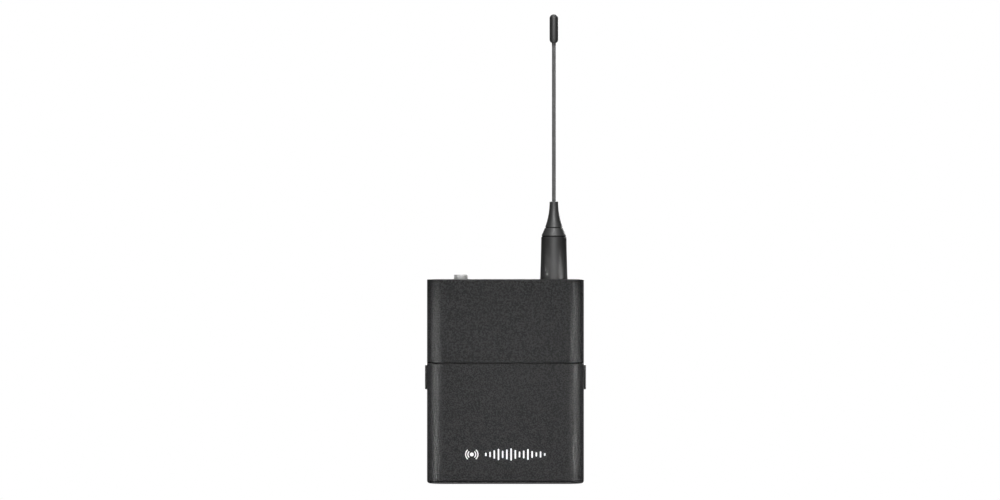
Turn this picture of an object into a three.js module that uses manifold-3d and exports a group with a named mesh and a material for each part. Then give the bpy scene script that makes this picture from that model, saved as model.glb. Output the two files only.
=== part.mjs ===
// A wireless bodypack transmitter: a flat belt-worn box with a whip antenna and a threaded microphone jack on top,
// a battery door that swings down from the lower front, two side catches that free it, and a sprung wire belt clip.
//
// Millimetres. Seen from the front, +X is to the right, +Y runs from the front face to the back and +Z is up.
// The origin is the centre of the flat base.

import * as THREE from "three";
import { mergeVertices } from "three/addons/utils/BufferGeometryUtils.js";
import Module from "manifold-3d";

const wasm = await Module();
wasm.setup();

// ---------------------------------------------------------------- driving dimensions

// Casing
const BODY_W = 64.0; // over the side walls
const BODY_D = 20.3; // front face to back face
const BODY_H = 83.2; // base to rim
const FRONT_R = 7.0; // round of the two front vertical edges
const BACK_R = 4.5; // round of the two back vertical edges
const BASE_ROUND = 1.1;
const RIM_ROUND = 0.3;
const WALL = 1.5;
const SEAM = 0.4; // open gap between the front shells and the rear housing
const SPLIT_Z = 49.2; // middle of the gap between the upper cover and the door
const SPLIT_GAP = 0.65;
const PART_Y = -2.7; // parting plane between the front shells and the rear housing
const LIP_H = 0.85; // the rear housing's front lip, under the door
const FLOOR_H = 1.5;
const LEDGE_Z = 80.0; // the ledge that carries the top plate
const PLATE_Z = 81.1;
const PLATE_TOP = 82.4; // the plate is sunk below the rim
const LEDGE_W = 0.9;
const FIT = 0.15; // play of a part in its opening
const TOUCH = 0.05; // gap between faces that rest on each other

// Door hinge
const DOOR_Z = 1.35; // bottom of the door
const DOOR_EDGE_R = 1.0; // round of the door's lower front edge
const HINGE_R = 1.9; // knuckles, which touch the door's front and bottom
const HINGE_Y = -BODY_D / 2 + HINGE_R;
const HINGE_Z = DOOR_Z + HINGE_R;
const HINGE_X = 21.5; // middle of each hinge post
const KNUCKLE_W = 2.7;
const POST_W = 4.0;
const POST_HEAD_R = 1.2;
const PIN_R = 0.6;
const PIN_HALF = 4.7;

// Cells, type AA
const CELL_R = 7.1;
const CELL_L = 49.3; // can only
const NUB_R = 2.6;
const NUB_L = 1.2;
const CELL_X = 7.45;
const CELL_Y = 0.55;
const BAY_HALF = 14.9;
const BAY_Z0 = 3.0;
const BAY_Z1 = 57.5;
const FRAME_T = 1.1;
const DECK_Y = -7.95; // front of the frame's deck
const DECK_T = 1.0;

// Side catches
const CATCH_PROUD = 0.9;
const CATCH_TRAVEL = 1.1;
const CATCH_Y = 2.3;
const CATCH_W = 5.8;
const CATCH_Z = 43.2;
const CATCH_H = 9.95;
const CATCH_FLANGE_X = 28.9; // inner face of the flange
const FLANGE_BELOW = 0.9;
const FLANGE_ABOVE = 0.6;
const HOOK_LEAF_X = 27.15;
const HOOK_TIP_X = 28.3;
const HOOK_HALF = 2.15;
const HOOK_Y = [-6.4, -5.85]; // front and back of the hook's tip
const STRIKE_X = [28.6, 30.8];
const STRIKE_Y = [-5.6, -4.6];
const STRIKE_HALF = 2.75;

// Top fittings
const JACK_X = -18.2;
const JACK_R = 2.85;
const JACK_BORE_R = 1.8;
const JACK_TOP = BODY_H + 1.9;
const RING_NUT_TOP = BODY_H - 0.05;
const POWER_L = 9.0;
const POWER_W = 4.4;
const LED_X = 8.6;
const LED_R = 0.9;

// Antenna
const ANTENNA_X = 19.8;
const SLEEVE_R0 = 5.62;
const SLEEVE_R1 = 5.17;
const SLEEVE_TOP = 100.5;
const COLLAR_Z0 = 101.0;
const COLLAR_Z1 = 104.2;
const CONE_Z0 = 104.5;
const CONE_TOP = 115.0;
const CONE_R0 = 5.12; // at the foot of the collar
const CONE_R1 = 1.75;
const CONE_POWER = 2.1; // how strongly the flank is hollowed
const WHIP_R = 0.78;
const WHIP_Z0 = CONE_TOP + 0.3;
const WHIP_Z1 = 178.8;
const TIP_NECK_R = 0.82;
const TIP_NECK_Z = 180.0;
const TIP_SHOULDER_Z = 181.4;
const TIP_DOME_Z = 190.2;
const TIP_R = 1.76;
const TIP_TOP = 191.6;

// Boards
const BOARD_Y = 4.4;
const BOARD_T = 1.0;
const BOARD_Z0 = 59.6;
const BOARD_Z1 = 79.6;
const BOARD_HALF = 28.4;
const CONTROL_Y = -3.6;
const SYNC_X = 22.8;
const SYNC_Z = 24.0;

// Case screws
const SCREW_TOP = { x: 26, z: 75 };
const SCREW_LOW = { x: 24, z: 11 };
const SCREW_HEAD_R = 1.9;
const SCREW_SEAT_Y = 8.55;
const SCREW_BOSS_Y = 6.9;

// Belt clip
const WIRE_R = 1.0;
const CLIP_PIVOT_Y = 7.0;
const CLIP_PIVOT_Z = 54.8;
const CLIP_SIDE_X = 30.4;
const CLIP_OUT_Y = 15.9;
const CLIP_FOOT_Y = 11.55;
const NOTCH_X = 28.6;
const NOTCH_Y = 4.6;

// ---------------------------------------------------------------- materials

function finish(color, roughness, metalness = 0) {
  return new THREE.MeshStandardMaterial({ color, roughness, metalness });
}

const frontPlastic = finish(0x383838, 0.55);
const rearPlastic = finish(0x242424, 0.6);
const framePlastic = finish(0x1c1c1e, 0.6);
const catchPlastic = finish(0x161616, 0.5);
const antennaRubber = finish(0x2b2b2b, 0.5);
const whipCoating = finish(0x3a3a3a, 0.5);
const jackMetal = finish(0xb9bbbd, 0.25, 1);
const brass = finish(0xc9a04c, 0.35, 1);
const springSteel = finish(0xb4b6b8, 0.3, 1);
const clipSteel = finish(0x1d1d1e, 0.4, 0.6);
const boardGreen = finish(0x12482e, 0.5);
const chipBlack = finish(0x151515, 0.4);
const tinPlate = finish(0xa9abad, 0.4, 1);
const lensClear = finish(0xdfe6ea, 0.15);
const cellSleeve = finish(0x34383d, 0.35);
const ribbonAmber = finish(0x8a4a18, 0.4);
const labelSilver = finish(0x8d9093, 0.5);

// ---------------------------------------------------------------- solids

// A closed geometry as a manifold-3d solid, with its faces pointing out.
function solid(geometry) {
  const bare = new THREE.BufferGeometry();
  bare.setAttribute("position", geometry.getAttribute("position"));
  bare.setIndex(geometry.index);
  const merged = mergeVertices(bare, 1e-4);
  const p = merged.getAttribute("position");
  const corners = [0, 1, 2].map(() => new THREE.Vector3());
  const kept = [];
  let volume = 0;
  for (let i = 0; i < merged.index.count; i += 3) {
    const [a, b, c] = [0, 1, 2].map((k) => merged.index.getX(i + k));
    if (a === b || b === c || c === a) continue;
    [a, b, c].forEach((v, k) => corners[k].fromBufferAttribute(p, v));
    volume += corners[0].dot(corners[1].cross(corners[2]));
    kept.push(a, b, c);
  }
  if (volume < 0) kept.reverse();
  const mesh = new wasm.Mesh({ numProp: 3, vertProperties: p.array, triVerts: new Uint32Array(kept) });
  return new wasm.Manifold(mesh);
}

function geometryOf(made) {
  const mesh = made.getMesh();
  const geometry = new THREE.BufferGeometry();
  geometry.setAttribute("position", new THREE.BufferAttribute(mesh.vertProperties, 3));
  geometry.setIndex(new THREE.BufferAttribute(mesh.triVerts, 1));
  geometry.computeVertexNormals();
  return geometry;
}

function join(first, ...rest) {
  return rest.reduce((sum, one) => sum.add(one), first);
}

function cut(first, ...rest) {
  return rest.reduce((left, one) => left.subtract(one), first);
}

function block([x0, x1], [y0, y1], [z0, z1]) {
  const geometry = new THREE.BoxGeometry(x1 - x0, y1 - y0, z1 - z0);
  return solid(geometry.translate((x0 + x1) / 2, (y0 + y1) / 2, (z0 + z1) / 2));
}

// Round bars along each axis: (radius, from, to, the two other coordinates, sides).
function barX(r, x0, x1, y, z, sides = 16) {
  const geometry = new THREE.CylinderGeometry(r, r, x1 - x0, sides);
  return solid(geometry.rotateZ(Math.PI / 2).translate((x0 + x1) / 2, y, z));
}

function barY(r, y0, y1, x, z, sides = 16) {
  const geometry = new THREE.CylinderGeometry(r, r, y1 - y0, sides);
  return solid(geometry.translate(x, (y0 + y1) / 2, z));
}

function barZ(r, z0, z1, x = 0, y = 0, sides = 16) {
  const geometry = new THREE.CylinderGeometry(r, r, z1 - z0, sides);
  return solid(geometry.rotateX(Math.PI / 2).translate(x, y, (z0 + z1) / 2));
}

// A profile of [radius, height] points turned about Z.
function turned(points, sides = 24) {
  const profile = points.map(([r, z]) => new THREE.Vector2(r, z));
  return solid(new THREE.LatheGeometry(profile, sides).rotateX(Math.PI / 2));
}

// A shape in (x, y) extruded along Z.
function prismZ(shape, z0, z1, options = {}) {
  const settings = { depth: z1 - z0, bevelEnabled: false, curveSegments: 3, ...options };
  return solid(new THREE.ExtrudeGeometry(shape, settings).translate(0, 0, z0));
}

// A shape in (y, z) extruded along X.
function prismX(shape, x0, x1) {
  const geometry = new THREE.ExtrudeGeometry(shape, { depth: x1 - x0, bevelEnabled: false, curveSegments: 4 });
  const turn = new THREE.Matrix4().makeBasis(
    new THREE.Vector3(0, 1, 0),
    new THREE.Vector3(0, 0, 1),
    new THREE.Vector3(1, 0, 0),
  );
  return solid(geometry.applyMatrix4(turn).translate(x0, 0, 0));
}

// A slot-shaped outline, long along X.
function stadium(length, width) {
  const r = width / 2;
  const half = length / 2 - r;
  const shape = new THREE.Shape();
  shape.absarc(half, 0, r, -Math.PI / 2, Math.PI / 2, false);
  shape.absarc(-half, 0, r, Math.PI / 2, (3 * Math.PI) / 2, false);
  shape.closePath();
  return shape;
}

// A round wire of the given radius along a curve.
function wire(curve, r, sides, steps) {
  const section = new THREE.Shape(
    Array.from({ length: sides }, (_, i) => {
      const a = (2 * Math.PI * i) / sides;
      return new THREE.Vector2(r * Math.cos(a), r * Math.sin(a));
    }),
  );
  return solid(new THREE.ExtrudeGeometry(section, { steps, extrudePath: curve, bevelEnabled: false }));
}

// A coil about Z from z = 0, whose radius runs from r0 to r1.
class Coil extends THREE.Curve {
  constructor(r0, r1, height, turns) {
    super();
    Object.assign(this, { r0, r1, height, turns });
  }
  getPoint(t, target = new THREE.Vector3()) {
    const a = 2 * Math.PI * this.turns * t;
    const r = this.r0 + (this.r1 - this.r0) * t;
    return target.set(r * Math.cos(a), r * Math.sin(a), this.height * t);
  }
}

// ---------------------------------------------------------------- the scene graph

const pack = new THREE.Group();

function group(parent, x = 0, y = 0, z = 0) {
  const made = new THREE.Group();
  made.position.set(x, y, z);
  parent.add(made);
  return made;
}

function place(parent, name, made, material, x = 0, y = 0, z = 0) {
  const mesh = new THREE.Mesh(geometryOf(made), material);
  mesh.name = name;
  mesh.position.set(x, y, z);
  parent.add(mesh);
  return mesh;
}

// ---------------------------------------------------------------- casing

// The casing's outline seen from above, moved in by inset.
function bodyOutline(inset) {
  const x = BODY_W / 2 - inset;
  const y = BODY_D / 2 - inset;
  const f = FRONT_R - inset;
  const b = BACK_R - inset;
  const shape = new THREE.Shape();
  shape.absarc(x - f, -y + f, f, -Math.PI / 2, 0, false);
  shape.absarc(x - b, y - b, b, 0, Math.PI / 2, false);
  shape.absarc(-x + b, y - b, b, Math.PI / 2, Math.PI, false);
  shape.absarc(-x + f, -y + f, f, Math.PI, (3 * Math.PI) / 2, false);
  shape.closePath();
  return shape;
}

// The outline as a solid whose two ends are rounded by r.
function roundedBody(z0, z1, r, segments) {
  return prismZ(bodyOutline(0), z0 + r, z1 - r, {
    bevelEnabled: true,
    bevelThickness: r,
    bevelSize: r,
    bevelOffset: -r,
    bevelSegments: segments,
  });
}

const BEYOND = 20; // how far a cutting block runs past the part
const WIDE = [-BODY_W, BODY_W];
const DEEP = [-BODY_D, BODY_D];

const fullBody = roundedBody(0, BODY_H + BEYOND, BASE_ROUND, 2).intersect(
  roundedBody(-BEYOND, BODY_H, RIM_ROUND, 1),
);

const hollow = join(
  prismZ(bodyOutline(WALL), LIP_H, LEDGE_Z),
  prismZ(bodyOutline(WALL + LEDGE_W), LEDGE_Z - 1, PLATE_Z + 1),
  prismZ(bodyOutline(WALL), PLATE_Z, BODY_H + 1),
);

const casing = fullBody.subtract(hollow);

function frontUpperCover() {
  const region = block(WIDE, [-BODY_D, PART_Y - SEAM / 2], [SPLIT_Z + SPLIT_GAP / 2, BODY_H + 1]);
  const bossY = [-BODY_D / 2 + WALL - 0.2, SCREW_BOSS_Y - 0.1];
  return [-1, 1].reduce((cover, side) => {
    const x = side * SCREW_TOP.x;
    const boss = barY(2.2, ...bossY, x, SCREW_TOP.z);
    const pilot = barY(0.85, -2, bossY[1] + 1, x, SCREW_TOP.z, 12);
    return cover.add(boss).subtract(pilot);
  }, casing.intersect(region));
}

// The door's side view: a straight front with a rounded lower edge, and back corners eased so that they swing
// clear of the housing.
function doorRegion() {
  const top = SPLIT_Z - SPLIT_GAP / 2;
  const back = PART_Y - SEAM / 2;
  const front = -BODY_D / 2;
  const shape = new THREE.Shape();
  shape.moveTo(front, DOOR_Z + DOOR_EDGE_R + 1);
  shape.lineTo(front - 1, DOOR_Z + DOOR_EDGE_R + 1);
  shape.lineTo(front - 1, top);
  shape.lineTo(back - 1.0, top);
  shape.lineTo(back, top - 0.25);
  shape.lineTo(back, DOOR_Z + 0.7);
  shape.lineTo(back - 0.3, DOOR_Z);
  shape.lineTo(front + DOOR_EDGE_R, DOOR_Z);
  shape.absarc(front + DOOR_EDGE_R, DOOR_Z + DOOR_EDGE_R, DOOR_EDGE_R, -Math.PI / 2, -Math.PI, true);
  shape.closePath();
  return prismX(shape, ...WIDE);
}

function batteryDoor() {
  let door = casing.intersect(doorRegion());
  const innerY = -BODY_D / 2 + WALL;
  const ribEnds = [innerY - 0.2, -7.1];
  for (const z of [16, 38]) {
    door = door.add(block([-13.5, 13.5], ribEnds, [z, z + 1]));
  }
  for (const side of [-1, 1]) {
    const strikeX = STRIKE_X.map((x) => side * x).sort((a, b) => a - b);
    door = door.add(block(strikeX, STRIKE_Y, [CATCH_Z - STRIKE_HALF, CATCH_Z + STRIKE_HALF]));
    for (const off of [-1, 1]) {
      // One knuckle on each side of the hinge post.
      const inner = side * HINGE_X + off * (POST_W / 2 + 0.3);
      const outer = inner + off * KNUCKLE_W;
      door = door.add(barX(HINGE_R, Math.min(inner, outer), Math.max(inner, outer), HINGE_Y, HINGE_Z, 20));
    }
    // Room for the post's round head behind the front skin.
    const room = [side * HINGE_X - POST_W / 2 - 0.3, side * HINGE_X + POST_W / 2 + 0.3];
    door = cut(
      door,
      barX(POST_HEAD_R + 0.25, ...room, HINGE_Y, HINGE_Z, 20),
      block(room, [HINGE_Y - 0.75, HINGE_Y + 2.5], [0, HINGE_Z + 0.2]),
      barX(PIN_R + FIT, side * HINGE_X - PIN_HALF - 0.1, side * HINGE_X + PIN_HALF + 0.1, HINGE_Y, HINGE_Z, 12),
    );
  }
  return door;
}

// A post on the floor whose arm reaches forward to the hinge axis.
function hingePost(x) {
  const width = [x - POST_W / 2, x + POST_W / 2];
  const top = HINGE_Z + POST_HEAD_R;
  return cut(
    join(
      block(width, [-6.0, -4.0], [FLOOR_H - 0.1, top]),
      block(width, [HINGE_Y, -5.0], [HINGE_Z - 0.2, top]),
      barX(POST_HEAD_R, ...width, HINGE_Y, HINGE_Z, 20),
    ),
    barX(PIN_R + 0.08, x - POST_W, x + POST_W, HINGE_Y, HINGE_Z, 12),
  );
}

// The pocket in a back corner where one end of the belt clip plugs in.
function clipPocket(side) {
  const ordered = (a, b) => [side * a, side * b].sort((p, q) => p - q);
  const z = CLIP_PIVOT_Z;
  const lump = block(ordered(23.5, 31.9), [3.2, 9.9], [z - 4.2, z + 4.2]).intersect(fullBody);
  const notch = block(ordered(NOTCH_X, 40), [NOTCH_Y, 20], [z - 3.2, z + 3.2]);
  const socket = barX(WIRE_R + 0.15, ...ordered(24.3, 40), CLIP_PIVOT_Y, z);
  return { lump, hole: notch.add(socket) };
}

function rearHousing() {
  const region = join(
    block(WIDE, [PART_Y + SEAM / 2, BODY_D], [-1, BODY_H + 1]),
    block(WIDE, DEEP, [-1, LIP_H]),
  );
  const tongue = block([-28.4, 28.4], [-6.1, 0], [LIP_H - 0.1, FLOOR_H]);
  const floor = prismZ(bodyOutline(WALL - 0.1), LIP_H - 0.1, FLOOR_H)
    .intersect(block(WIDE, [PART_Y + SEAM / 2, BODY_D], [0, FLOOR_H]))
    .add(tongue);
  let housing = join(casing.intersect(region), floor, hingePost(-HINGE_X), hingePost(HINGE_X));
  for (const side of [-1, 1]) {
    const pocket = clipPocket(side);
    housing = housing.add(pocket.lump).subtract(pocket.hole);
    const window = [29, 33].map((x) => side * x).sort((a, b) => a - b);
    housing = housing.subtract(
      block(
        window,
        [CATCH_Y - CATCH_W / 2 - FIT, CATCH_Y + CATCH_W / 2 + FIT],
        [CATCH_Z - CATCH_H / 2 - FIT, CATCH_Z + CATCH_H / 2 + FIT],
      ),
    );
    for (const { x, z } of [SCREW_TOP, SCREW_LOW]) {
      housing = cut(
        housing.add(barY(3.1, SCREW_BOSS_Y, BODY_D / 2 - 0.5, side * x, z)),
        barY(SCREW_HEAD_R + 0.25, SCREW_SEAT_Y, BODY_D, side * x, z, 20),
        barY(1.1, 0, BODY_D, side * x, z, 12),
      );
    }
  }
  const label = block([-20.3, 20.3], [BODY_D / 2 - 0.2, BODY_D], [61.7, 78.3]);
  return housing.subtract(label);
}

function topPlate() {
  return cut(
    prismZ(bodyOutline(WALL + FIT), PLATE_Z + TOUCH, PLATE_TOP),
    barZ(JACK_R + FIT, PLATE_Z - 1, BODY_H, JACK_X, 0),
    barZ(2.2, PLATE_Z - 1, BODY_H, ANTENNA_X, 0),
    barZ(LED_R + 0.12, PLATE_Z - 1, BODY_H, -LED_X, 0, 12),
    barZ(LED_R + 0.12, PLATE_Z - 1, BODY_H, LED_X, 0, 12),
    prismZ(stadium(POWER_L + 0.4, POWER_W + 0.4), PLATE_Z - 1, BODY_H),
  );
}

place(pack, "rear_housing", rearHousing(), rearPlastic);
place(pack, "front_upper_cover", frontUpperCover(), frontPlastic);
place(pack, "top_plate", topPlate(), rearPlastic);
place(pack, "battery_door", batteryDoor(), frontPlastic);

for (const [word, side] of [["left", -1], ["right", 1]]) {
  const pin = barX(PIN_R, -PIN_HALF, PIN_HALF, 0, 0, 12);
  place(pack, `hinge_pin_${word}`, pin, springSteel, side * HINGE_X, HINGE_Y, HINGE_Z);
}

function caseScrew() {
  return turned([
    [0, 0],
    [0.75, 0],
    [0.75, 7.6],
    [SCREW_HEAD_R, 7.6],
    [SCREW_HEAD_R, 8.4],
    [1.3, 8.9],
    [0, 8.9],
  ], 16);
}

for (const [level, { x, z }] of [["upper", SCREW_TOP], ["lower", SCREW_LOW]]) {
  for (const [word, side] of [["left", -1], ["right", 1]]) {
    const screw = place(pack, `case_screw_${level}_${word}`, caseScrew(), springSteel);
    screw.rotation.x = -Math.PI / 2;
    screw.position.set(side * x, SCREW_SEAT_Y + 0.1 - 7.6, z);
  }
}

place(pack, "rear_label", block([-20, 20], [0, 0.12], [0, 16]), labelSilver, 0, BODY_D / 2 - 0.17, 62);

// ---------------------------------------------------------------- battery bay

function bayFrame() {
  const outline = prismZ(bodyOutline(WALL + 0.3), 0, BODY_H);
  const deckY = [DECK_Y, DECK_Y + DECK_T];
  const wallY = [DECK_Y, 8.45];
  const base = BAY_Z0 - FRAME_T;
  const roof = BAY_Z1 + FRAME_T;
  let frame = block([-31, 31], deckY, [5.3, roof]);
  frame = join(
    frame,
    block([-BAY_HALF - FRAME_T, BAY_HALF + FRAME_T], wallY, [base, roof]),
  );
  frame = cut(
    frame,
    block([-BAY_HALF, BAY_HALF], [DECK_Y - 1, 7.95], [BAY_Z0, BAY_Z1]),
    block([-31, 31], [DECK_Y - 1, -6.0], [0, 5.3]),
    block([-9.4, -5.6], [3.6, 4.6], [BAY_Z1 - 1, roof + 1]),
    block([5.6, 9.4], [3.6, 4.6], [BAY_Z1 - 1, roof + 1]),
  );
  // A low ridge that keeps the two cells apart.
  frame = frame.add(block([-0.25, 0.25], [5.0, 8.0], [BAY_Z0 + 6, BAY_Z1 - 6]));
  for (const side of [-1, 1]) {
    const span = (a, b) => [side * a, side * b].sort((p, q) => p - q);
    // The cup that guides a side catch and backs its spring.
    const low = CATCH_Z - CATCH_H / 2 - FLANGE_BELOW;
    const high = CATCH_Z + CATCH_H / 2 + FLANGE_ABOVE;
    const cup = cut(
      block(span(23.2, 30.2), [-2.4, 6.4], [low - 1.3, high + 1.0]),
      block(span(24.2, 31), [-1.7, 5.8], [low - 0.3, high + 0.2]),
      block(span(25.7, 29.3), [-3, -1], [CATCH_Z - 3.4, CATCH_Z + 3.4]),
    );
    frame = join(frame, cup, block(span(BAY_HALF, 23.4), [-2.0, 6.4], [CATCH_Z - 1.2, CATCH_Z + 1.2]));
    frame = frame.subtract(block(span(25.6, 32), [DECK_Y - 1, DECK_Y + 2], [CATCH_Z - 6.2, CATCH_Z + 6.2]));
    const boss = barY(2.4, DECK_Y + 0.5, SCREW_BOSS_Y - 0.1, side * SCREW_LOW.x, SCREW_LOW.z);
    const pilot = barY(0.85, -2, 8, side * SCREW_LOW.x, SCREW_LOW.z, 12);
    frame = frame.add(boss).subtract(pilot);
  }
  // The window and board posts of the pairing button.
  frame = frame.subtract(barY(2.85, DECK_Y - 1, DECK_Y + 2, SYNC_X, SYNC_Z, 20));
  for (const [x, z] of [[18.7, 30.5], [27.0, 17.5]]) {
    frame = frame.add(barY(1.2, DECK_Y + 0.5, CONTROL_Y - 0.05, x, z, 10));
  }
  return frame.intersect(outline);
}

place(pack, "bay_frame", bayFrame(), framePlastic);

// A cell standing on its flat end, with its raised contact on top.
function cell() {
  return turned([
    [0, 0],
    [CELL_R - 0.4, 0],
    [CELL_R, 0.4],
    [CELL_R, CELL_L - 0.5],
    [CELL_R - 0.5, CELL_L],
    [NUB_R, CELL_L],
    [NUB_R, CELL_L + NUB_L],
    [0, CELL_L + NUB_L],
  ], 24);
}

const CELL_LOW_SPRING = 2.2;
const PLATE_T = 0.35;
const leftCellZ = BAY_Z0 + PLATE_T + CELL_LOW_SPRING + 0.2;
const rightCellZ = BAY_Z0 + PLATE_T + 0.15 + CELL_L + NUB_L;
place(pack, "battery_cell_left", cell(), cellSleeve, -CELL_X, CELL_Y, leftCellZ);
place(pack, "battery_cell_right", cell(), cellSleeve, CELL_X, CELL_Y, rightCellZ).rotation.x = Math.PI;

place(
  pack,
  "bridge_contact",
  join(
    block([-13.4, -1.5], [-5, 5], [0, PLATE_T]),
    block([1.5, 13.4], [-5, 5], [0, PLATE_T]),
    block([-2, 2], [-2, 2], [0, PLATE_T]),
  ),
  tinPlate,
  0,
  CELL_Y,
  BAY_Z0 + 0.05,
);

// A contact plate under the bay's roof, with a solder tab up to the board.
function roofContact() {
  return join(
    block([-5.6, 5.6], [-5, 4.4 - CELL_Y], [-PLATE_T, 0]),
    block([-1.5, 1.5], [3.85 - CELL_Y, 4.3 - CELL_Y], [-PLATE_T, 2.9]),
  );
}

place(pack, "positive_contact", roofContact(), tinPlate, -CELL_X, CELL_Y, BAY_Z1 - 0.05);
place(pack, "negative_contact", roofContact(), tinPlate, CELL_X, CELL_Y, BAY_Z1 - 0.05);

const CELL_WIRE = 0.35;

function cellSpring(height) {
  return wire(new Coil(4.2, 2.4, height - 2 * CELL_WIRE, 2.5), CELL_WIRE, 5, 24);
}

place(
  pack,
  "lower_cell_spring",
  cellSpring(CELL_LOW_SPRING),
  springSteel,
  -CELL_X,
  CELL_Y,
  BAY_Z0 + PLATE_T + CELL_WIRE + 0.1,
);
const upperSpringRoom = BAY_Z1 - PLATE_T - rightCellZ - 0.2;
place(
  pack,
  "upper_cell_spring",
  cellSpring(upperSpringRoom),
  springSteel,
  CELL_X,
  CELL_Y,
  BAY_Z1 - PLATE_T - CELL_WIRE - 0.1,
).rotation.x = Math.PI;

// ---------------------------------------------------------------- side catches

function catchButton() {
  const y = [CATCH_Y - CATCH_W / 2, CATCH_Y + CATCH_W / 2];
  const z = [CATCH_Z - CATCH_H / 2, CATCH_Z + CATCH_H / 2];
  const face = BODY_W / 2 + CATCH_PROUD;
  const flangeX = [CATCH_FLANGE_X, CATCH_FLANGE_X + 1.2];
  const rootZ = [CATCH_Z - 2.7, CATCH_Z + 2.7]; // where the hook is moulded in
  return join(
    block([CATCH_FLANGE_X + 0.5, face - 0.4], y, z),
    block([face - 0.5, face], [y[0] + 0.4, y[1] - 0.4], [z[0] + 0.4, z[1] - 0.4]),
    block(flangeX, [y[0] - 0.9, y[1] + 0.4], [z[0] - FLANGE_BELOW, z[1] + FLANGE_ABOVE]),
    barX(1.1, CATCH_FLANGE_X - 1.5, CATCH_FLANGE_X + 0.2, CATCH_Y, CATCH_Z, 12),
    block([CATCH_FLANGE_X - 1.3, CATCH_FLANGE_X + 0.2], [y[0] - 0.9, y[0] + 0.2], rootZ),
  );
}

// A flat spring leaf whose turned-out tip stands beside the door's strike.
function catchHook() {
  const z = [CATCH_Z - HOOK_HALF, CATCH_Z + HOOK_HALF];
  return join(
    block([HOOK_LEAF_X, HOOK_LEAF_X + 0.4], [HOOK_Y[0], -0.5], z),
    block([HOOK_LEAF_X, HOOK_TIP_X], HOOK_Y, z),
  );
}

function catchSpring() {
  return wire(new Coil(1.75, 1.75, 4.0, 3), 0.22, 5, 27);
}

for (const [word, side] of [["left", -1], ["right", 1]]) {
  const half = group(pack);
  half.scale.x = side;
  place(half, `catch_button_${word}`, catchButton(), catchPlastic);
  place(half, `catch_hook_${word}`, catchHook(), springSteel);
  const spring = place(half, `catch_spring_${word}`, catchSpring(), springSteel);
  spring.rotation.y = Math.PI / 2;
  spring.position.set(24.55, CATCH_Y, CATCH_Z);
}

// ---------------------------------------------------------------- boards

function mainBoard() {
  return cut(
    block([-BOARD_HALF, BOARD_HALF], [0, BOARD_T], [BOARD_Z0, BOARD_Z1]),
    barY(2.6, -1, 2, -SCREW_TOP.x, SCREW_TOP.z),
    barY(2.6, -1, 2, SCREW_TOP.x, SCREW_TOP.z),
  );
}

place(pack, "main_board", mainBoard(), boardGreen, 0, BOARD_Y, 0);
place(pack, "rf_shield_can", block([-6, 16], [0, 2.4], [61, 73]), tinPlate, 0, BOARD_Y - 2.45, 0);
place(pack, "processor_chip", block([0, 6.4], [0, 1], [0, 6.4]), chipBlack, -15.4, BOARD_Y - 1.05, 60.3);
place(pack, "audio_codec_chip", block([0, 5], [0, 1], [0, 5]), chipBlack, -26.5, BOARD_Y - 1.05, 61.5);
place(pack, "power_inductor", block([0, 6], [0, 2.4], [0, 6]), chipBlack, 7, BOARD_Y + BOARD_T + 0.05, 64);
place(
  pack,
  "control_board",
  block([17, 28.6], [0, 1], [15.5, 32.5]),
  boardGreen,
  0,
  CONTROL_Y,
  0,
);

// The flat cable from the pairing button's board up to the main board.
function flatCable() {
  const t = 0.2;
  const low = CONTROL_Y + 1.05;
  const high = BOARD_Y - 0.25;
  const shape = new THREE.Shape();
  shape.moveTo(low, 29);
  shape.lineTo(low + t, 29);
  shape.lineTo(low + t, 52);
  shape.lineTo(high + t, 57.5);
  shape.lineTo(high + t, 63);
  shape.lineTo(high, 63);
  shape.lineTo(high, 57.6);
  shape.lineTo(low, 52.1);
  shape.closePath();
  return prismX(shape, 0, 4);
}

place(pack, "flat_cable", flatCable(), ribbonAmber, 18, 0, 0);

// ---------------------------------------------------------------- buttons and lights

// A push switch whose well takes the plunger; it presses along -Z.
function pushSwitch(halfX, [y0, y1], height) {
  return cut(
    block([-halfX, halfX], [y0, y1], [-height, 0]),
    barZ(1.15, -1.3, 1, 0, 0, 12),
  );
}

const POWER_Z = PLATE_Z - 3.1; // top of the power switch
const power = group(pack, 0, 0, POWER_Z);
place(power, "power_switch", pushSwitch(3.0, [-2.2, BOARD_Y - 0.05], 4), chipBlack);
place(power, "power_switch_plunger", barZ(1.0, -0.6, 0.55, 0, 0, 12), lensClear);
const powerCap = join(
  prismZ(stadium(POWER_L, POWER_W), 3.0, PLATE_TOP - 0.1 - POWER_Z),
  prismZ(stadium(POWER_L + 1.4, POWER_W + 1.4), 2.2, 3.05),
  barZ(1.3, 0.6, 2.3, 0, 0, 12),
);
place(power, "power_button", powerCap, catchPlastic);

const sync = group(pack, SYNC_X, -5.4, SYNC_Z);
sync.rotation.x = Math.PI / 2;
place(sync, "sync_switch", pushSwitch(2.5, [-2.5, 2.5], 1.75), chipBlack);
place(sync, "sync_switch_plunger", barZ(1.0, -0.8, 0.35, 0, 0, 12), lensClear);
const syncCap = join(
  barZ(2.6, 0.8, 2.35, 0, 0, 20),
  barZ(3.4, 0.8, 1.45, 0, 0, 20),
  barZ(1.3, 0.4, 0.9, 0, 0, 12),
);
place(sync, "sync_button", syncCap, catchPlastic);

const LAMP_Z = PLATE_Z - 2.2; // top of the lamps
for (const [word, x] of [["link", -LED_X], ["data", LED_X]]) {
  const lamp = group(pack, x, 0, LAMP_Z);
  place(lamp, `${word}_led`, block([-1, 1], [-1, BOARD_Y - 0.05], [-1.6, 0]), tinPlate);
  place(lamp, `${word}_light_pipe`, barZ(LED_R, TOUCH, PLATE_TOP - TOUCH - LAMP_Z, 0, 0, 12), lensClear);
}

// ---------------------------------------------------------------- microphone jack

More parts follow.
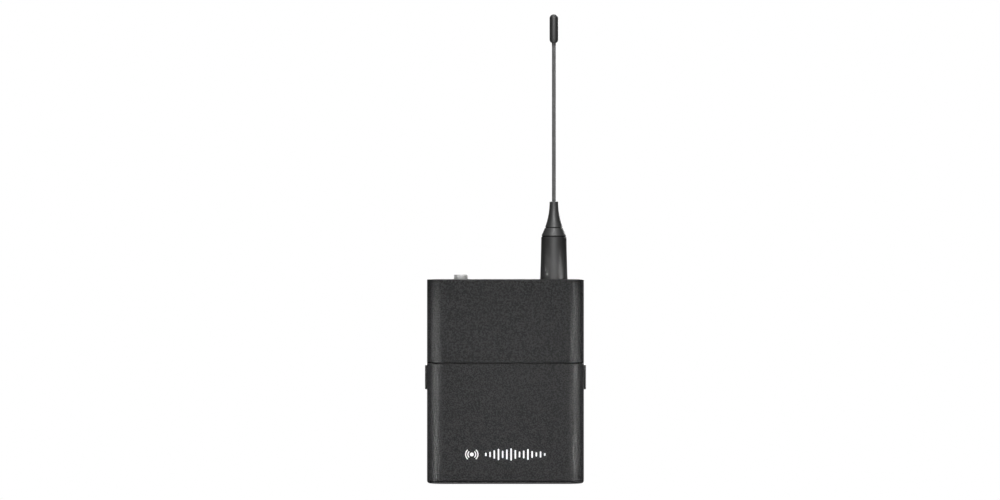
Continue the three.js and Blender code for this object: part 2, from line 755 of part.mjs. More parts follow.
// The jack's heights are from the underside of the top plate.
const jack = group(pack, JACK_X, 0, PLATE_Z);
const JACK_TAIL_R = 2.6;
const JACK_TAIL_Z = -5.5;
const JACK_BODY_Z = -14.0;
const JACK_FLANGE_R = 3.6;
const LEAF_LOW = -11.9;
const LEAF_HIGH = -8.7;

function jackSleeve() {
  return cut(
    join(
      barZ(JACK_R, -0.6, JACK_TOP - PLATE_Z, 0, 0, 24),
      barZ(JACK_FLANGE_R, -0.55, 0, 0, 0, 24),
      barZ(JACK_TAIL_R, JACK_TAIL_Z, -0.5, 0, 0, 24),
    ),
    barZ(JACK_BORE_R, JACK_TAIL_Z - 1, JACK_TOP, 0, 0, 20),
  );
}

function jackBody() {
  return cut(
    block([-3.9, 3.9], [-3.9, BOARD_Y - 0.1], [JACK_BODY_Z, -0.65]),
    barZ(JACK_TAIL_R + FIT, JACK_TAIL_Z - 0.1, 1, 0, 0, 20),
    barZ(JACK_BORE_R + 0.05, JACK_BODY_Z + 1.5, JACK_TAIL_Z + 1, 0, 0, 16),
    block([-4.5, 0], [-0.9, 0.9], [LEAF_LOW - 0.4, LEAF_LOW + 2.6]),
    block([0, 4.5], [-0.9, 0.9], [LEAF_HIGH - 0.4, LEAF_HIGH + 2.6]),
  );
}

// A contact leaf that leans into the bore, with its tail outside the body.
function jackLeaf(side, z) {
  const span = (a, b) => [side * a, side * b].sort((p, q) => p - q);
  return join(
    block(span(1.5, 1.8), [-0.6, 0.6], [z, z + 2]),
    block(span(1.5, 4.3), [-0.6, 0.6], [z, z + 0.3]),
    block(span(4.0, 4.3), [-0.6, BOARD_Y - 0.1], [z, z + 0.8]),
  );
}

function ringNut() {
  return cut(
    barZ(3.3, PLATE_TOP + TOUCH - PLATE_Z, RING_NUT_TOP - PLATE_Z, 0, 0, 24),
    barZ(JACK_R + 0.08, 0, JACK_TOP, 0, 0, 24),
  );
}

place(jack, "jack_sleeve", jackSleeve(), jackMetal);
place(jack, "jack_body", jackBody(), chipBlack);
place(jack, "jack_tip_spring", jackLeaf(-1, LEAF_LOW), brass);
place(jack, "jack_ring_spring", jackLeaf(1, LEAF_HIGH), brass);
place(jack, "jack_ring_nut", ringNut(), jackMetal);

// ---------------------------------------------------------------- antenna

const antenna = group(pack, ANTENNA_X, 0, 0);
const CORE_R = 0.75;
const CORE_HOLE_R = 0.95;
const STUD_R = 2.0;
const STUD_FOOT = PLATE_Z - 5.0;
const STUD_TOP = 90.5;
const CORE_FOOT = 85.6;

// The radius of the antenna's hollowed flank at a height above the sleeve.
function flankRadius(z) {
  const left = (CONE_TOP - z) / (CONE_TOP - COLLAR_Z0);
  return CONE_R1 + (CONE_R0 - CONE_R1) * left ** CONE_POWER;
}

function flank(z0, z1, steps) {
  return Array.from({ length: steps + 1 }, (_, i) => {
    const z = z0 + ((z1 - z0) * i) / steps;
    return [flankRadius(z), z];
  });
}

function sleeve() {
  const base = PLATE_TOP + TOUCH;
  const steps = 3;
  const side = Array.from({ length: steps + 1 }, (_, i) => {
    const t = i / steps;
    return [SLEEVE_R1 + (SLEEVE_R0 - SLEEVE_R1) * (1 - t) ** 1.3, base + (SLEEVE_TOP - base) * t];
  });
  const outside = [[0, base], ...side, [0, SLEEVE_TOP]];
  return cut(
    turned(outside),
    barZ(STUD_R + 0.1, PLATE_Z, STUD_TOP + 0.1, 0, 0),
    barZ(CORE_HOLE_R, PLATE_Z, SLEEVE_TOP + 1, 0, 0, 12),
  );
}

function flankPiece(z0, z1, steps) {
  return cut(turned([[0, z0], ...flank(z0, z1, steps), [0, z1]]), barZ(CORE_HOLE_R, z0 - 1, z1 + 1, 0, 0, 12));
}

place(antenna, "antenna_base_sleeve", sleeve(), antennaRubber);
place(antenna, "antenna_collar", flankPiece(COLLAR_Z0, COLLAR_Z1, 2), antennaRubber);
place(antenna, "antenna_cone", flankPiece(CONE_Z0, CONE_TOP, 5), antennaRubber);
place(antenna, "antenna_core", barZ(CORE_R, CORE_FOOT, CONE_TOP, 0, 0, 10), springSteel);
const coreHole = barZ(CORE_HOLE_R, CORE_FOOT - 0.1, STUD_TOP + 1, 0, 0, 12);
const stud = cut(barZ(STUD_R, STUD_FOOT, STUD_TOP, 0, 0), coreHole);
place(antenna, "antenna_stud", stud, brass);
const studHole = barZ(STUD_R + 0.1, STUD_FOOT, STUD_TOP, 0, 0);
place(antenna, "antenna_nut", cut(barZ(4.0, PLATE_Z - 2.7, PLATE_Z - 0.5, 0, 0, 6), studHole), brass);
place(antenna, "antenna_washer", cut(barZ(4.3, PLATE_Z - 0.45, PLATE_Z, 0, 0, 20), studHole), tinPlate);
const feedTop = STUD_FOOT - 0.1;
const feed = join(
  block([-1.5, 1.5], [-1.6, BOARD_Y - 0.1], [feedTop - 0.3, feedTop]),
  block([-1.5, 1.5], [BOARD_Y - 0.4, BOARD_Y - 0.1], [feedTop - 3.4, feedTop]),
);
place(antenna, "antenna_feed_spring", feed, brass);
place(antenna, "antenna_whip", barZ(WHIP_R, WHIP_Z0, WHIP_Z1, 0, 0, 10), whipCoating);

function antennaTip() {
  const start = WHIP_Z1 + TOUCH;
  const low = [1, 2].map((i) => {
    const a = (i * Math.PI) / 4;
    const r = TIP_NECK_R + (TIP_R - TIP_NECK_R) * Math.sin(a);
    return [r, TIP_NECK_Z + (TIP_SHOULDER_Z - TIP_NECK_Z) * (1 - Math.cos(a))];
  });
  const high = [1, 2].map((i) => {
    const a = (i * Math.PI) / 6;
    return [TIP_R * Math.cos(a), TIP_DOME_Z + (TIP_TOP - TIP_DOME_Z) * Math.sin(a)];
  });
  const neck = [[0, start], [TIP_NECK_R, start], [TIP_NECK_R, TIP_NECK_Z]];
  return turned([...neck, ...low, [TIP_R, TIP_DOME_Z], ...high, [0, TIP_TOP]], 16);
}

place(antenna, "antenna_tip", antennaTip(), antennaRubber);

// ---------------------------------------------------------------- belt clip

// One half of the clip's centreline, from its socket round to the middle of its foot.
function clipHalf() {
  const z = CLIP_PIVOT_Z;
  return [
    [24.5, CLIP_PIVOT_Y, z],
    [27.5, CLIP_PIVOT_Y, z],
    [29.6, CLIP_PIVOT_Y + 0.5, z],
    [CLIP_SIDE_X, CLIP_PIVOT_Y + 2.2, z],
    [CLIP_SIDE_X, 11.5, z],
    [CLIP_SIDE_X, 14.6, z - 0.8],
    [30.1, CLIP_OUT_Y, z - 3.5],
    [27.6, CLIP_OUT_Y, z - 12],
    [20.5, CLIP_OUT_Y, z - 25],
    [16.5, 14.9, z - 32],
    [15.2, 12.4, z - 36],
    [14.2, CLIP_FOOT_Y, z - 38.5],
    [11.5, 12.2, z - 41],
    [6.5, 13.2, z - 42.6],
    [0, 13.5, z - 43],
  ];
}

function beltClip() {
  const half = clipHalf();
  const other = half.slice(0, -1).reverse().map(([x, y, z]) => [-x, y, z]);
  const points = [...half, ...other].map((p) => new THREE.Vector3(...p));
  return wire(new THREE.CatmullRomCurve3(points, false, "centripetal"), WIRE_R, 8, 60);
}

place(pack, "belt_clip", beltClip(), clipSteel);

export default pack;
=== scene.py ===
"""The looks of a wireless bodypack transmitter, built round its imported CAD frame.

Meshes are written in millimetres in the frame of the CAD model and scaled to metres when they are made.
"""

import math

import bmesh
import bpy
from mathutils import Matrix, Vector


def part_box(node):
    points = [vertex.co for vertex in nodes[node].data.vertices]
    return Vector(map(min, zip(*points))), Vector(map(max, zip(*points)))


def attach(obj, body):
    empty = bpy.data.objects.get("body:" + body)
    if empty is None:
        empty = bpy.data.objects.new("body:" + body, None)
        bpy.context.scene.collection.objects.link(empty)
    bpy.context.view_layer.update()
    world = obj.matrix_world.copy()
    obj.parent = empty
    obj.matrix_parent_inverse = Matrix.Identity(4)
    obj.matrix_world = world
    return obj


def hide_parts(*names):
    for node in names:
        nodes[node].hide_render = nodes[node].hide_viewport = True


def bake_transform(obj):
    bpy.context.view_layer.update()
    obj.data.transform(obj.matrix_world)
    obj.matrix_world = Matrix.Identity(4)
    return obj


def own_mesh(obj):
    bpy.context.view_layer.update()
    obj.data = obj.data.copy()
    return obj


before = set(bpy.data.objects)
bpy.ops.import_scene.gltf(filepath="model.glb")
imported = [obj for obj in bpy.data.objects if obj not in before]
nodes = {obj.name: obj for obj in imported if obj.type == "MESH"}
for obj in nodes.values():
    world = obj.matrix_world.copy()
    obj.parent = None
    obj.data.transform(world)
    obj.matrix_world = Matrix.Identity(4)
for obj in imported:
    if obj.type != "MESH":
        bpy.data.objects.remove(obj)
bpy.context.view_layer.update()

MM = 0.001
TURN = 2 * math.pi

# Casing
HALF_W = 32.0
HALF_D = 10.15
TOP = 83.2
FRONT_R = 7.0
BACK_R = 4.5
BASE_ROUND = 1.1
WALL = 1.5
LEDGE_WALL = 2.4
LEDGE_Z = 80.0
PLATE_Z = 81.1
PLATE_TOP = 82.4
LIP_TOP = 0.85
SPLIT_Z = 49.2
COVER_Z = 49.525
DOOR_TOP = 48.875
DOOR_Z = 1.05
DOOR_EDGE = 0.8
FRONT_END = -2.9
HOUSING_END = -2.5
SEAM_ROUND = 0.18

# Hinge, catches, clip
HINGE_X = 21.5
HINGE_Y = -8.25
HINGE_Z = 3.25
HINGE_R = 1.9
CATCH_Y = 2.3
CATCH_Z = 43.2
CATCH_W = 5.8
CATCH_H = 9.95
CLIP_Y = 7.0
CLIP_Z = 54.8

# Top fittings and antenna
JACK_X = -18.2
JACK_TOP = 85.1
LED_X = 8.6
ANTENNA_X = 19.8
SLEEVE_TOP = 100.5
COLLAR = (101.0, 104.2)
CONE = (104.5, 115.0)
FLANK_R0 = 5.12
FLANK_R1 = 1.75
FLANK_POWER = 2.1
WHIP_TOP = 178.8
FERRULE_R = 0.82
TIP_SHOULDER = 181.4
TIP_TOP = 191.6
TIP_R = 1.76
CELL_X = 7.45
CELL_Y = 0.55
CELL_R = 7.08
BAND_Z = 36
SYNC_X = 22.8
SYNC_Z = 24.0


# ---------------------------------------------------------------- materials


class Shader:
    """A Principled material and short ways to feed its sockets."""

    def __init__(self, name, color, roughness, metallic=0.0, **sockets):
        self.material = bpy.data.materials.new(name)
        self.material.use_nodes = True
        self.tree = self.material.node_tree
        self.surface = self.tree.nodes["Principled BSDF"]
        self.set("Base Color", (*color, 1.0))
        self.set("Roughness", roughness)
        self.set("Metallic", metallic)
        for socket, value in sockets.items():
            self.set(socket.replace("_", " "), value)
        coordinates = self.tree.nodes.new("ShaderNodeTexCoord")
        self.place = coordinates.outputs["Object"]

    def set(self, socket, value):
        self.surface.inputs[socket].default_value = value

    def link(self, output, socket):
        self.tree.links.new(output, self.surface.inputs[socket])

    def noise(self, size_mm, detail=3.0, roughness=0.55, stretch=(1, 1, 1)):
        """Noise whose features are about size_mm across."""
        mapping = self.tree.nodes.new("ShaderNodeMapping")
        mapping.inputs["Scale"].default_value = stretch
        self.tree.links.new(self.place, mapping.inputs["Vector"])
        node = self.tree.nodes.new("ShaderNodeTexNoise")
        node.inputs["Scale"].default_value = 1.0 / (size_mm * MM)
        node.inputs["Detail"].default_value = detail
        node.inputs["Roughness"].default_value = roughness
        self.tree.links.new(mapping.outputs["Vector"], node.inputs["Vector"])
        return node.outputs["Fac"]

    def cells(self, size_mm):
        """Rounded cells about size_mm across."""
        node = self.tree.nodes.new("ShaderNodeTexVoronoi")
        node.inputs["Scale"].default_value = 1.0 / (size_mm * MM)
        self.tree.links.new(self.place, node.inputs["Vector"])
        return node.outputs["Distance"]

    def edges(self):
        """How convex the surface is, about 0.5 where it is flat."""
        return self.tree.nodes.new("ShaderNodeNewGeometry").outputs["Pointiness"]

    def span(self, value, low, high, to_low=0.0, to_high=1.0):
        node = self.tree.nodes.new("ShaderNodeMapRange")
        node.inputs["From Min"].default_value = low
        node.inputs["From Max"].default_value = high
        node.inputs["To Min"].default_value = to_low
        node.inputs["To Max"].default_value = to_high
        self.tree.links.new(value, node.inputs["Value"])
        return node.outputs["Result"]

    def mix(self, factor, a, b):
        """Colour a where factor is 0 and b where it is 1; each is a colour or an output."""
        node = self.tree.nodes.new("ShaderNodeMix")
        node.data_type = "RGBA"
        self.tree.links.new(factor, node.inputs[0])
        for socket, value in ((node.inputs[6], a), (node.inputs[7], b)):
            if isinstance(value, tuple):
                socket.default_value = (*value, 1.0)
            else:
                self.tree.links.new(value, socket)
        return node.outputs[2]

    def add(self, a, b, weight=1.0):
        node = self.tree.nodes.new("ShaderNodeMath")
        node.operation = "MULTIPLY_ADD"
        self.tree.links.new(b, node.inputs[0])
        node.inputs[1].default_value = weight
        self.tree.links.new(a, node.inputs[2])
        return node.outputs[0]

    def bump(self, height, depth_mm):
        node = self.tree.nodes.new("ShaderNodeBump")
        node.inputs["Strength"].default_value = 1.0
        node.inputs["Distance"].default_value = depth_mm * MM
        self.tree.links.new(height, node.inputs["Height"])
        self.link(node.outputs["Normal"], "Normal")


def dimmer(color, share):
    return tuple(c * share for c in color)


def moulded(name, color, roughness, fleck_mm, contrast, depth_mm, specks=0.0, gloss=0.5):
    """Spark-eroded plastic: flecks over a fine grain, dark specks, and edges rubbed lighter."""
    s = Shader(name, color, roughness, Specular_IOR_Level=gloss)
    fleck = s.noise(fleck_mm, 2.0, 0.6)
    grain = s.noise(fleck_mm * 0.4, 3.0, 0.7)
    mottle = s.noise(fleck_mm * 14, 3.0)
    tone = s.mix(s.span(fleck, 0.44, 0.57), dimmer(color, 1 - contrast), dimmer(color, 1 + contrast))
    tone = s.mix(s.span(grain, 0.35, 0.7, 0.0, 0.3), tone, dimmer(color, 1.5))
    tone = s.mix(s.span(mottle, 0.35, 0.65, 0.0, 0.25), tone, dimmer(color, 1.2))
    tone = s.mix(s.span(s.noise(fleck_mm * 1.3, 1.0), 0.66, 0.74, 0.0, specks), tone, dimmer(color, 0.2))
    tone = s.mix(s.span(s.edges(), 0.54, 0.62, 0.0, 0.5), tone, dimmer(color, 1.6))
    s.link(tone, "Base Color")
    s.link(s.span(fleck, 0.35, 0.65, roughness + 0.12, roughness - 0.08), "Roughness")
    s.bump(s.add(fleck, grain, 0.4), depth_mm)
    return s.material


def smooth_plastic(name, color, roughness, scuffs=1.0):
    """Plain moulded plastic with faint scuffs."""
    s = Shader(name, color, roughness)
    scuff = s.noise(1.4, 5.0, 0.7)
    worn = dimmer(color, 1 - 0.1 * scuffs), dimmer(color, 1 + 0.25 * scuffs)
    s.link(s.mix(s.span(scuff, 0.4, 0.7), *worn), "Base Color")
    s.link(s.span(scuff, 0.3, 0.7, roughness - 0.06 * scuffs, roughness + 0.08 * scuffs), "Roughness")
    s.bump(s.noise(0.25, 3.0), 0.006 * scuffs)
    return s.material


def rubber(name, color, roughness, gloss=0.5, ior=1.5):
    """Moulded rubber with a soft dusty bloom."""
    sheen = {"Sheen_Weight": 0.02, "Sheen_Roughness": 0.5}
    s = Shader(name, color, roughness, Specular_IOR_Level=gloss, IOR=ior, **sheen)
    bloom = s.noise(2.2, 4.0, 0.65)
    s.link(s.mix(s.span(bloom, 0.35, 0.7), dimmer(color, 0.85), dimmer(color, 1.25)), "Base Color")
    s.link(s.span(bloom, 0.3, 0.7, roughness - 0.04, roughness + 0.06), "Roughness")
    s.bump(s.noise(0.18, 4.0), 0.008)
    return s.material


def metal(name, color, roughness, stretch=(1, 1, 1), tarnish=0.8, metallic=1.0):
    """Plated or drawn metal: fine marks along one way and a little tarnish."""
    s = Shader(name, color, roughness, metallic)
    marks = s.noise(0.12, 3.0, 0.6, stretch)
    stain = s.noise(2.5, 4.0)
    s.link(s.mix(s.span(stain, 0.45, 0.8), color, dimmer(color, tarnish)), "Base Color")
    s.link(s.span(s.add(marks, stain, 0.5), 0.4, 1.1, roughness * 0.7, roughness * 1.4), "Roughness")
    s.bump(marks, 0.003)
    return s.material


def board_mask(name):
    """Solder mask over copper tracks, as paler straight bands under the green."""
    s = Shader(name, (0.01, 0.08, 0.035), 0.35)
    tracks = s.cells(1.1)
    s.link(s.mix(s.span(tracks, 0.45, 0.5), (0.006, 0.06, 0.027), (0.02, 0.13, 0.06)), "Base Color")
    s.link(s.span(s.noise(0.8), 0.3, 0.7, 0.3, 0.42), "Roughness")
    s.bump(tracks, 0.02)
    return s.material


def lens(name):
    s = Shader(name, (0.9, 0.94, 0.95), 0.12, Transmission_Weight=0.85, IOR=1.49)
    s.link(s.span(s.noise(0.6), 0.3, 0.7, 0.08, 0.2), "Roughness")
    return s.material


def printed(name, color):
    """Pad-printed ink: nearly even, with pinholes."""
    s = Shader(name, color, 0.5)
    s.link(s.mix(s.span(s.noise(0.12, 2.0), 0.25, 0.4), dimmer(color, 0.8), color), "Base Color")
    s.link(s.span(s.noise(0.5), 0.3, 0.7, 0.42, 0.58), "Roughness")
    s.bump(s.noise(0.1), 0.002)
    return s.material


MAT = {
    "cover": moulded("cover_plastic", (0.013, 0.013, 0.0135), 0.46, 0.55, 0.95, 0.13, 0.9, 0.34),
    "door": moulded("door_plastic", (0.014, 0.014, 0.0145), 0.46, 0.5, 0.95, 0.11, 0.3, 0.32),
    "housing": moulded("housing_plastic", (0.016, 0.016, 0.016), 0.5, 0.85, 0.8, 0.17, 0.3, 0.7),
    "plate": moulded("plate_plastic", (0.014, 0.014, 0.014), 0.55, 0.5, 0.45, 0.04),
    "frame": smooth_plastic("frame_plastic", (0.026, 0.026, 0.027), 0.45),
    "catch": smooth_plastic("catch_plastic", (0.012, 0.012, 0.012), 0.42),
    "grip": rubber("grip_rubber", (0.008, 0.008, 0.008), 0.5, 1.0, 1.7),
    "rubber": rubber("antenna_rubber", (0.035, 0.035, 0.035), 0.48, 1.0, 1.7),
    "groove": rubber("groove_rubber", (0.012, 0.012, 0.012), 0.6, 0.3),
    "whip": rubber("whip_coating", (0.13, 0.13, 0.13), 0.42, 1.0, 1.6),
    "tip": rubber("tip_rubber", (0.02, 0.02, 0.02), 0.5, 1.0, 1.65),
    "jack": metal("jack_nickel", (0.72, 0.72, 0.72), 0.5, (1, 1, 6), 0.6, 0.4),
    "steel": metal("spring_steel", (0.6, 0.6, 0.61), 0.3),
    "clip": metal("clip_steel", (0.035, 0.035, 0.037), 0.36, (1, 1, 1), 1.5),
    "screw": metal("screw_steel", (0.05, 0.05, 0.052), 0.34),
    "brass": metal("contact_brass", (0.7, 0.5, 0.2), 0.3),
    "tin": metal("tin_plate", (0.6, 0.6, 0.61), 0.34),
    "board": board_mask("board_mask"),
    "chip": smooth_plastic("chip_mould", (0.01, 0.01, 0.01), 0.4),
    "ribbon": smooth_plastic("ribbon_film", (0.2, 0.075, 0.015), 0.3),
    "lens": lens("lens_clear"),
    "sleeve": smooth_plastic("cell_film", (0.05, 0.053, 0.062), 0.3, 0.25),
    "band": smooth_plastic("cell_band", (0.42, 0.2, 0.07), 0.3, 0.25),
    "label": metal("label_film", (0.4, 0.41, 0.42), 0.4, (8, 1, 1)),
    "ink": printed("white_ink", (0.86, 0.86, 0.86)),
}


# ---------------------------------------------------------------- outlines


def arc(cx, cy, r, a0, a1, steps):
    """Points of an arc, its angles in degrees."""
    angles = [math.radians(a0 + (a1 - a0) * i / steps) for i in range(steps + 1)]
    return [(cx + r * math.cos(a), cy + r * math.sin(a)) for a in angles]


def rounded_rect(w, h, r, steps=10, centre=(0.0, 0.0)):
    x, y = w / 2 - r, h / 2 - r
    cx, cy = centre
    quarters = ((x, y, 0), (-x, y, 90), (-x, -y, 180), (x, -y, 270))
    return [p for px, py, a in quarters for p in arc(cx + px, cy + py, r, a, a + 90, steps)]


def full_outline(inset, steps=14):
    """The casing's outline seen from above, moved in by inset."""
    x, y = HALF_W - inset, HALF_D - inset
    f, b = FRONT_R - inset, BACK_R - inset
    return (
        arc(x - b, y - b, b, 0, 90, steps)
        + arc(-x + b, y - b, b, 90, 180, steps)
        + arc(-x + f, -y + f, f, 180, 270, steps)
        + arc(x - f, -y + f, f, 270, 360, steps)
    )


def half_shell(side, end, outer, wall, steps=14):
    """The C-shaped section of the casing's front half (side -1) or back half (side 1).

    Its two ends stop at y = end, outer moves its outside in, and wall is how far in its inside is.
    """
    radius = FRONT_R if side < 0 else BACK_R
    x, v = HALF_W - outer, HALF_D - outer
    xi, vi = HALF_W - wall, HALF_D - wall
    r, ri = radius - outer, max(radius - wall, 0.4)
    e = 0.15
    stop = side * end
    points = (
        arc(xi + e, stop + e, e, 180, 270, 3)
        + arc(x - e, stop + e, e, 270, 360, 3)
        + arc(x - r, v - r, r, 0, 90, steps)
        + arc(-x + r, v - r, r, 90, 180, steps)
        + arc(-x + e, stop + e, e, 180, 270, 3)
        + arc(-xi - e, stop + e, e, 270, 360, 3)
        + arc(-xi + ri, vi - ri, ri, 180, 90, steps)
        + arc(xi - ri, vi - ri, ri, 90, 0, steps)
    )
    return [(px, side * pv) for px, pv in points]


def fillet(z, r, up, steps=4):
    """(inset, z) pairs of a quarter round: up from height z if up is 1, ending at z if up is -1."""
    pairs = []
    for i in range(steps + 1):
        a = math.radians(90 * i / steps)
        pairs.append((r * (1 - math.sin(a)), z + up * r * (1 - math.cos(a))))
    return pairs if up > 0 else pairs[::-1]


def soften(points, r, steps=3):
    """A (radius, height) profile with its inner corners rounded by r."""
    rounded = [points[0]]
    for before, here, after in zip(points, points[1:], points[2:]):
        p, a, b = Vector(here), Vector(before), Vector(after)
        ra = min(r, (a - p).length * 0.45)
        rb = min(r, (b - p).length * 0.45)
        start, end = p + (a - p).normalized() * ra, p + (b - p).normalized() * rb
        for i in range(steps + 1):
            t = i / steps
            q = start * (1 - t) ** 2 + p * 2 * t * (1 - t) + end * t**2
            rounded.append((q.x, q.y))
    rounded.append(points[-1])
    return rounded


# ---------------------------------------------------------------- meshes


def loft(rings):
    """The closed skin over rings of the same count, each a loop of (x, y, z)."""
    n = len(rings[0])
    verts = [p for ring in rings for p in ring]
    faces = []
    for j in range(len(rings) - 1):
        for i in range(n):
            k = (i + 1) % n
            faces.append((j * n + i, j * n + k, (j + 1) * n + k, (j + 1) * n + i))
    last = (len(rings) - 1) * n
    faces.append(tuple(reversed(range(n))))
    faces.append(tuple(range(last, last + n)))
    return verts, faces


def stack(outline, levels):
    """A loft up Z. outline(inset) gives its section, and levels are (inset, z) pairs."""
    return loft([[(x, y, z) for x, y in outline(inset)] for inset, z in levels])


def slab(w, h, r, z0, z1, edge=0.15, centre=(0.0, 0.0), steps=8):
    """A rounded rectangle raised from z0 to z1, its edges softened."""

    def outline(inset):
        return rounded_rect(w - 2 * inset, h - 2 * inset, max(r - inset, 0.02), steps, centre)

    return stack(outline, fillet(z0, edge, 1, 3) + fillet(z1, edge, -1, 3))


def lathe(profile, sides=64, centre=(0.0, 0.0)):
    """A (radius, height) profile turned about a Z axis: from axis to axis, or closed on itself."""
    cx, cy = centre
    rings = []
    verts = []
    for r, z in profile:
        count = 1 if r < 1e-6 else sides
        start = len(verts)
        for i in range(count):
            a = TURN * i / sides
            verts.append((cx + r * math.cos(a), cy + r * math.sin(a), z))
        rings.append((start, count))
    closed = profile[0][0] > 1e-6
    pairs = list(zip(rings, rings[1:] + ([rings[0]] if closed else [])))
    faces = []
    for (s0, n0), (s1, n1) in pairs:
        for i in range(sides):
            k = (i + 1) % sides
            corners = [s0 + i % n0, s0 + k % n0, s1 + k % n1, s1 + i % n1]
            face = tuple(dict.fromkeys(corners))
            if len(face) > 2:
                faces.append(face)
    return verts, faces


def tube(points, r, sides=20):
    """A round wire along points, with domed ends. r is its radius in mm."""
    line = [Vector(p) for p in points]
    ahead = [(b - a).normalized() for a, b in zip(line, line[1:])]
    ahead = [ahead[0]] + [(a + b).normalized() for a, b in zip(ahead, ahead[1:])] + [ahead[-1]]
    side = ahead[0].orthogonal().normalized()
    rings = []

    def ring(centre, direction, radius):
        up = direction.cross(side)
        return [tuple(centre + (side * math.cos(a) + up * math.sin(a)) * radius) for a in angles]

    angles = [TURN * i / sides for i in range(sides)]
    for k in (0.2, 0.55, 0.85):
        rings.append(ring(line[0] - ahead[0] * r * math.sqrt(1 - k * k) * 0.5, ahead[0], r * k))
    for centre, direction in zip(line, ahead):
        side = (side - direction * side.dot(direction)).normalized()
        rings.append(ring(centre, direction, r))
    for k in (0.85, 0.55, 0.2):
        rings.append(ring(line[-1] + ahead[-1] * r * math.sqrt(1 - k * k) * 0.5, ahead[-1], r * k))
    return loft(rings)


def turn(made, about, degrees, at=(0.0, 0.0, 0.0)):
    """The same mesh turned about an axis letter through the point at."""
    verts, faces = made
    c, s = math.cos(math.radians(degrees)), math.sin(math.radians(degrees))
    i, j = {"X": (1, 2), "Y": (2, 0), "Z": (0, 1)}[about]
    turned = []
    for v in verts:
        p = [a - b for a, b in zip(v, at)]
        p[i], p[j] = c * p[i] - s * p[j], s * p[i] + c * p[j]
        turned.append(tuple(a + b for a, b in zip(p, at)))
    return turned, faces


def shift(made, x=0.0, y=0.0, z=0.0):
    verts, faces = made
    return [(a + x, b + y, c + z) for a, b, c in verts], faces


def mirror(made):
    """The same mesh mirrored in X."""
    verts, faces = made
    return [(-x, y, z) for x, y, z in verts], [tuple(reversed(f)) for f in faces]


def together(*parts):
    verts, faces = [], []
    for v, f in parts:
        base = len(verts)
        verts += v
        faces += [tuple(i + base for i in face) for face in f]
    return verts, faces


def bare(name, made):
    """A mesh object in metres with its faces turned outwards."""
    verts, faces = made
    mesh = bpy.data.meshes.new(name)
    mesh.from_pydata([(x * MM, y * MM, z * MM) for x, y, z in verts], [], faces)
    work = bmesh.new()
    work.from_mesh(mesh)
    bmesh.ops.remove_doubles(work, verts=work.verts, dist=1e-7)
    bmesh.ops.recalc_face_normals(work, faces=work.faces)
    work.to_mesh(mesh)
    work.free()
    obj = bpy.data.objects.new(name, mesh)
    bpy.context.scene.collection.objects.link(obj)
    return obj


def combine(name, made, add=(), cut=()):
    """made with other closed meshes joined to it and cut from it."""
    obj = bare(name, made)
    helpers = []
    for operation, parts in (("UNION", add), ("DIFFERENCE", cut)):
        for part in parts:
            helper = bare("helper", part)
            helpers.append(helper)
            step = obj.modifiers.new("step", "BOOLEAN")
            step.operation = operation
            step.solver = "EXACT"
            step.object = helper
    graph = bpy.context.evaluated_depsgraph_get()
    finished = bpy.data.meshes.new_from_object(obj.evaluated_get(graph))
    obj.modifiers.clear()
    obj.data = finished
    for helper in helpers:
        bpy.data.objects.remove(helper)
    return obj


def dress(obj, material, body, replaces=(), crease=32):
    """Gives a finished mesh its shading, material and CAD body."""
    obj.data.materials.clear()
    obj.data.materials.append(MAT[material])
    obj.data.shade_smooth()
    obj.data.set_sharp_from_angle(angle=math.radians(crease))
    if body:
        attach(obj, body)
    if replaces:
        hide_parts(*replaces)
    return obj


# ---------------------------------------------------------------- casing


def cover():
    rings = []
    for inset, z in fillet(COVER_Z, SEAM_ROUND, 1):
        rings.append((FRONT_END - inset, inset, WALL - inset, z))
    rings.append((FRONT_END, 0, WALL, LEDGE_Z))
    rings.append((FRONT_END, 0, LEDGE_WALL, LEDGE_Z))
    rings.append((FRONT_END, 0, LEDGE_WALL, PLATE_Z))
    rings.append((FRONT_END, 0, WALL, PLATE_Z))
    for inset, z in fillet(TOP, 0.3, -1):
        rings.append((FRONT_END - inset * 0.5, inset, WALL - inset * 0.5, z))
    shell = loft([[(x, y, z) for x, y in half_shell(-1, e, o, w)] for e, o, w, z in rings])
    bosses = []
    for side in (-1, 1):
        post = lathe(soften([(0.85, 0), (2.2, 0), (2.2, 15.3), (0.85, 15.3)], 0.15), 32)
        bosses.append(shift(turn(post, "X", -90), side * 26, -8.5, 75))
    tongue = slab_between((-25, 25), (-8.5, -7.8), (SPLIT_Z - 0.9, SPLIT_Z + 1.3))
    return dress(
        bare("cover_shell", together(shell, tongue, *bosses)),
        "cover",
        "chassis",
        ["front_upper_cover"],
    )


def door_sections():
    """(back end, outer inset, wall, z, front limit) up the door."""
    rows = []
    for degrees in range(0, 91, 10):
        a = math.radians(degrees)
        z = DOOR_Z + DOOR_EDGE * (1 - math.cos(a))
        ease = 0.3 * max(0.0, (DOOR_Z + 0.7 - z) / 0.7)
        rows.append((FRONT_END - ease, 0, WALL, z, -HALF_D + DOOR_EDGE * (1 - math.sin(a))))
    rows.append((FRONT_END, 0, WALL, DOOR_TOP - 0.25, -HALF_D))
    for inset, z in fillet(DOOR_TOP, SEAM_ROUND, -1):
        ease = 4 * (z - DOOR_TOP + 0.25)
        rows.append((FRONT_END - ease - inset, inset, WALL - inset, z, -HALF_D))
    return rows


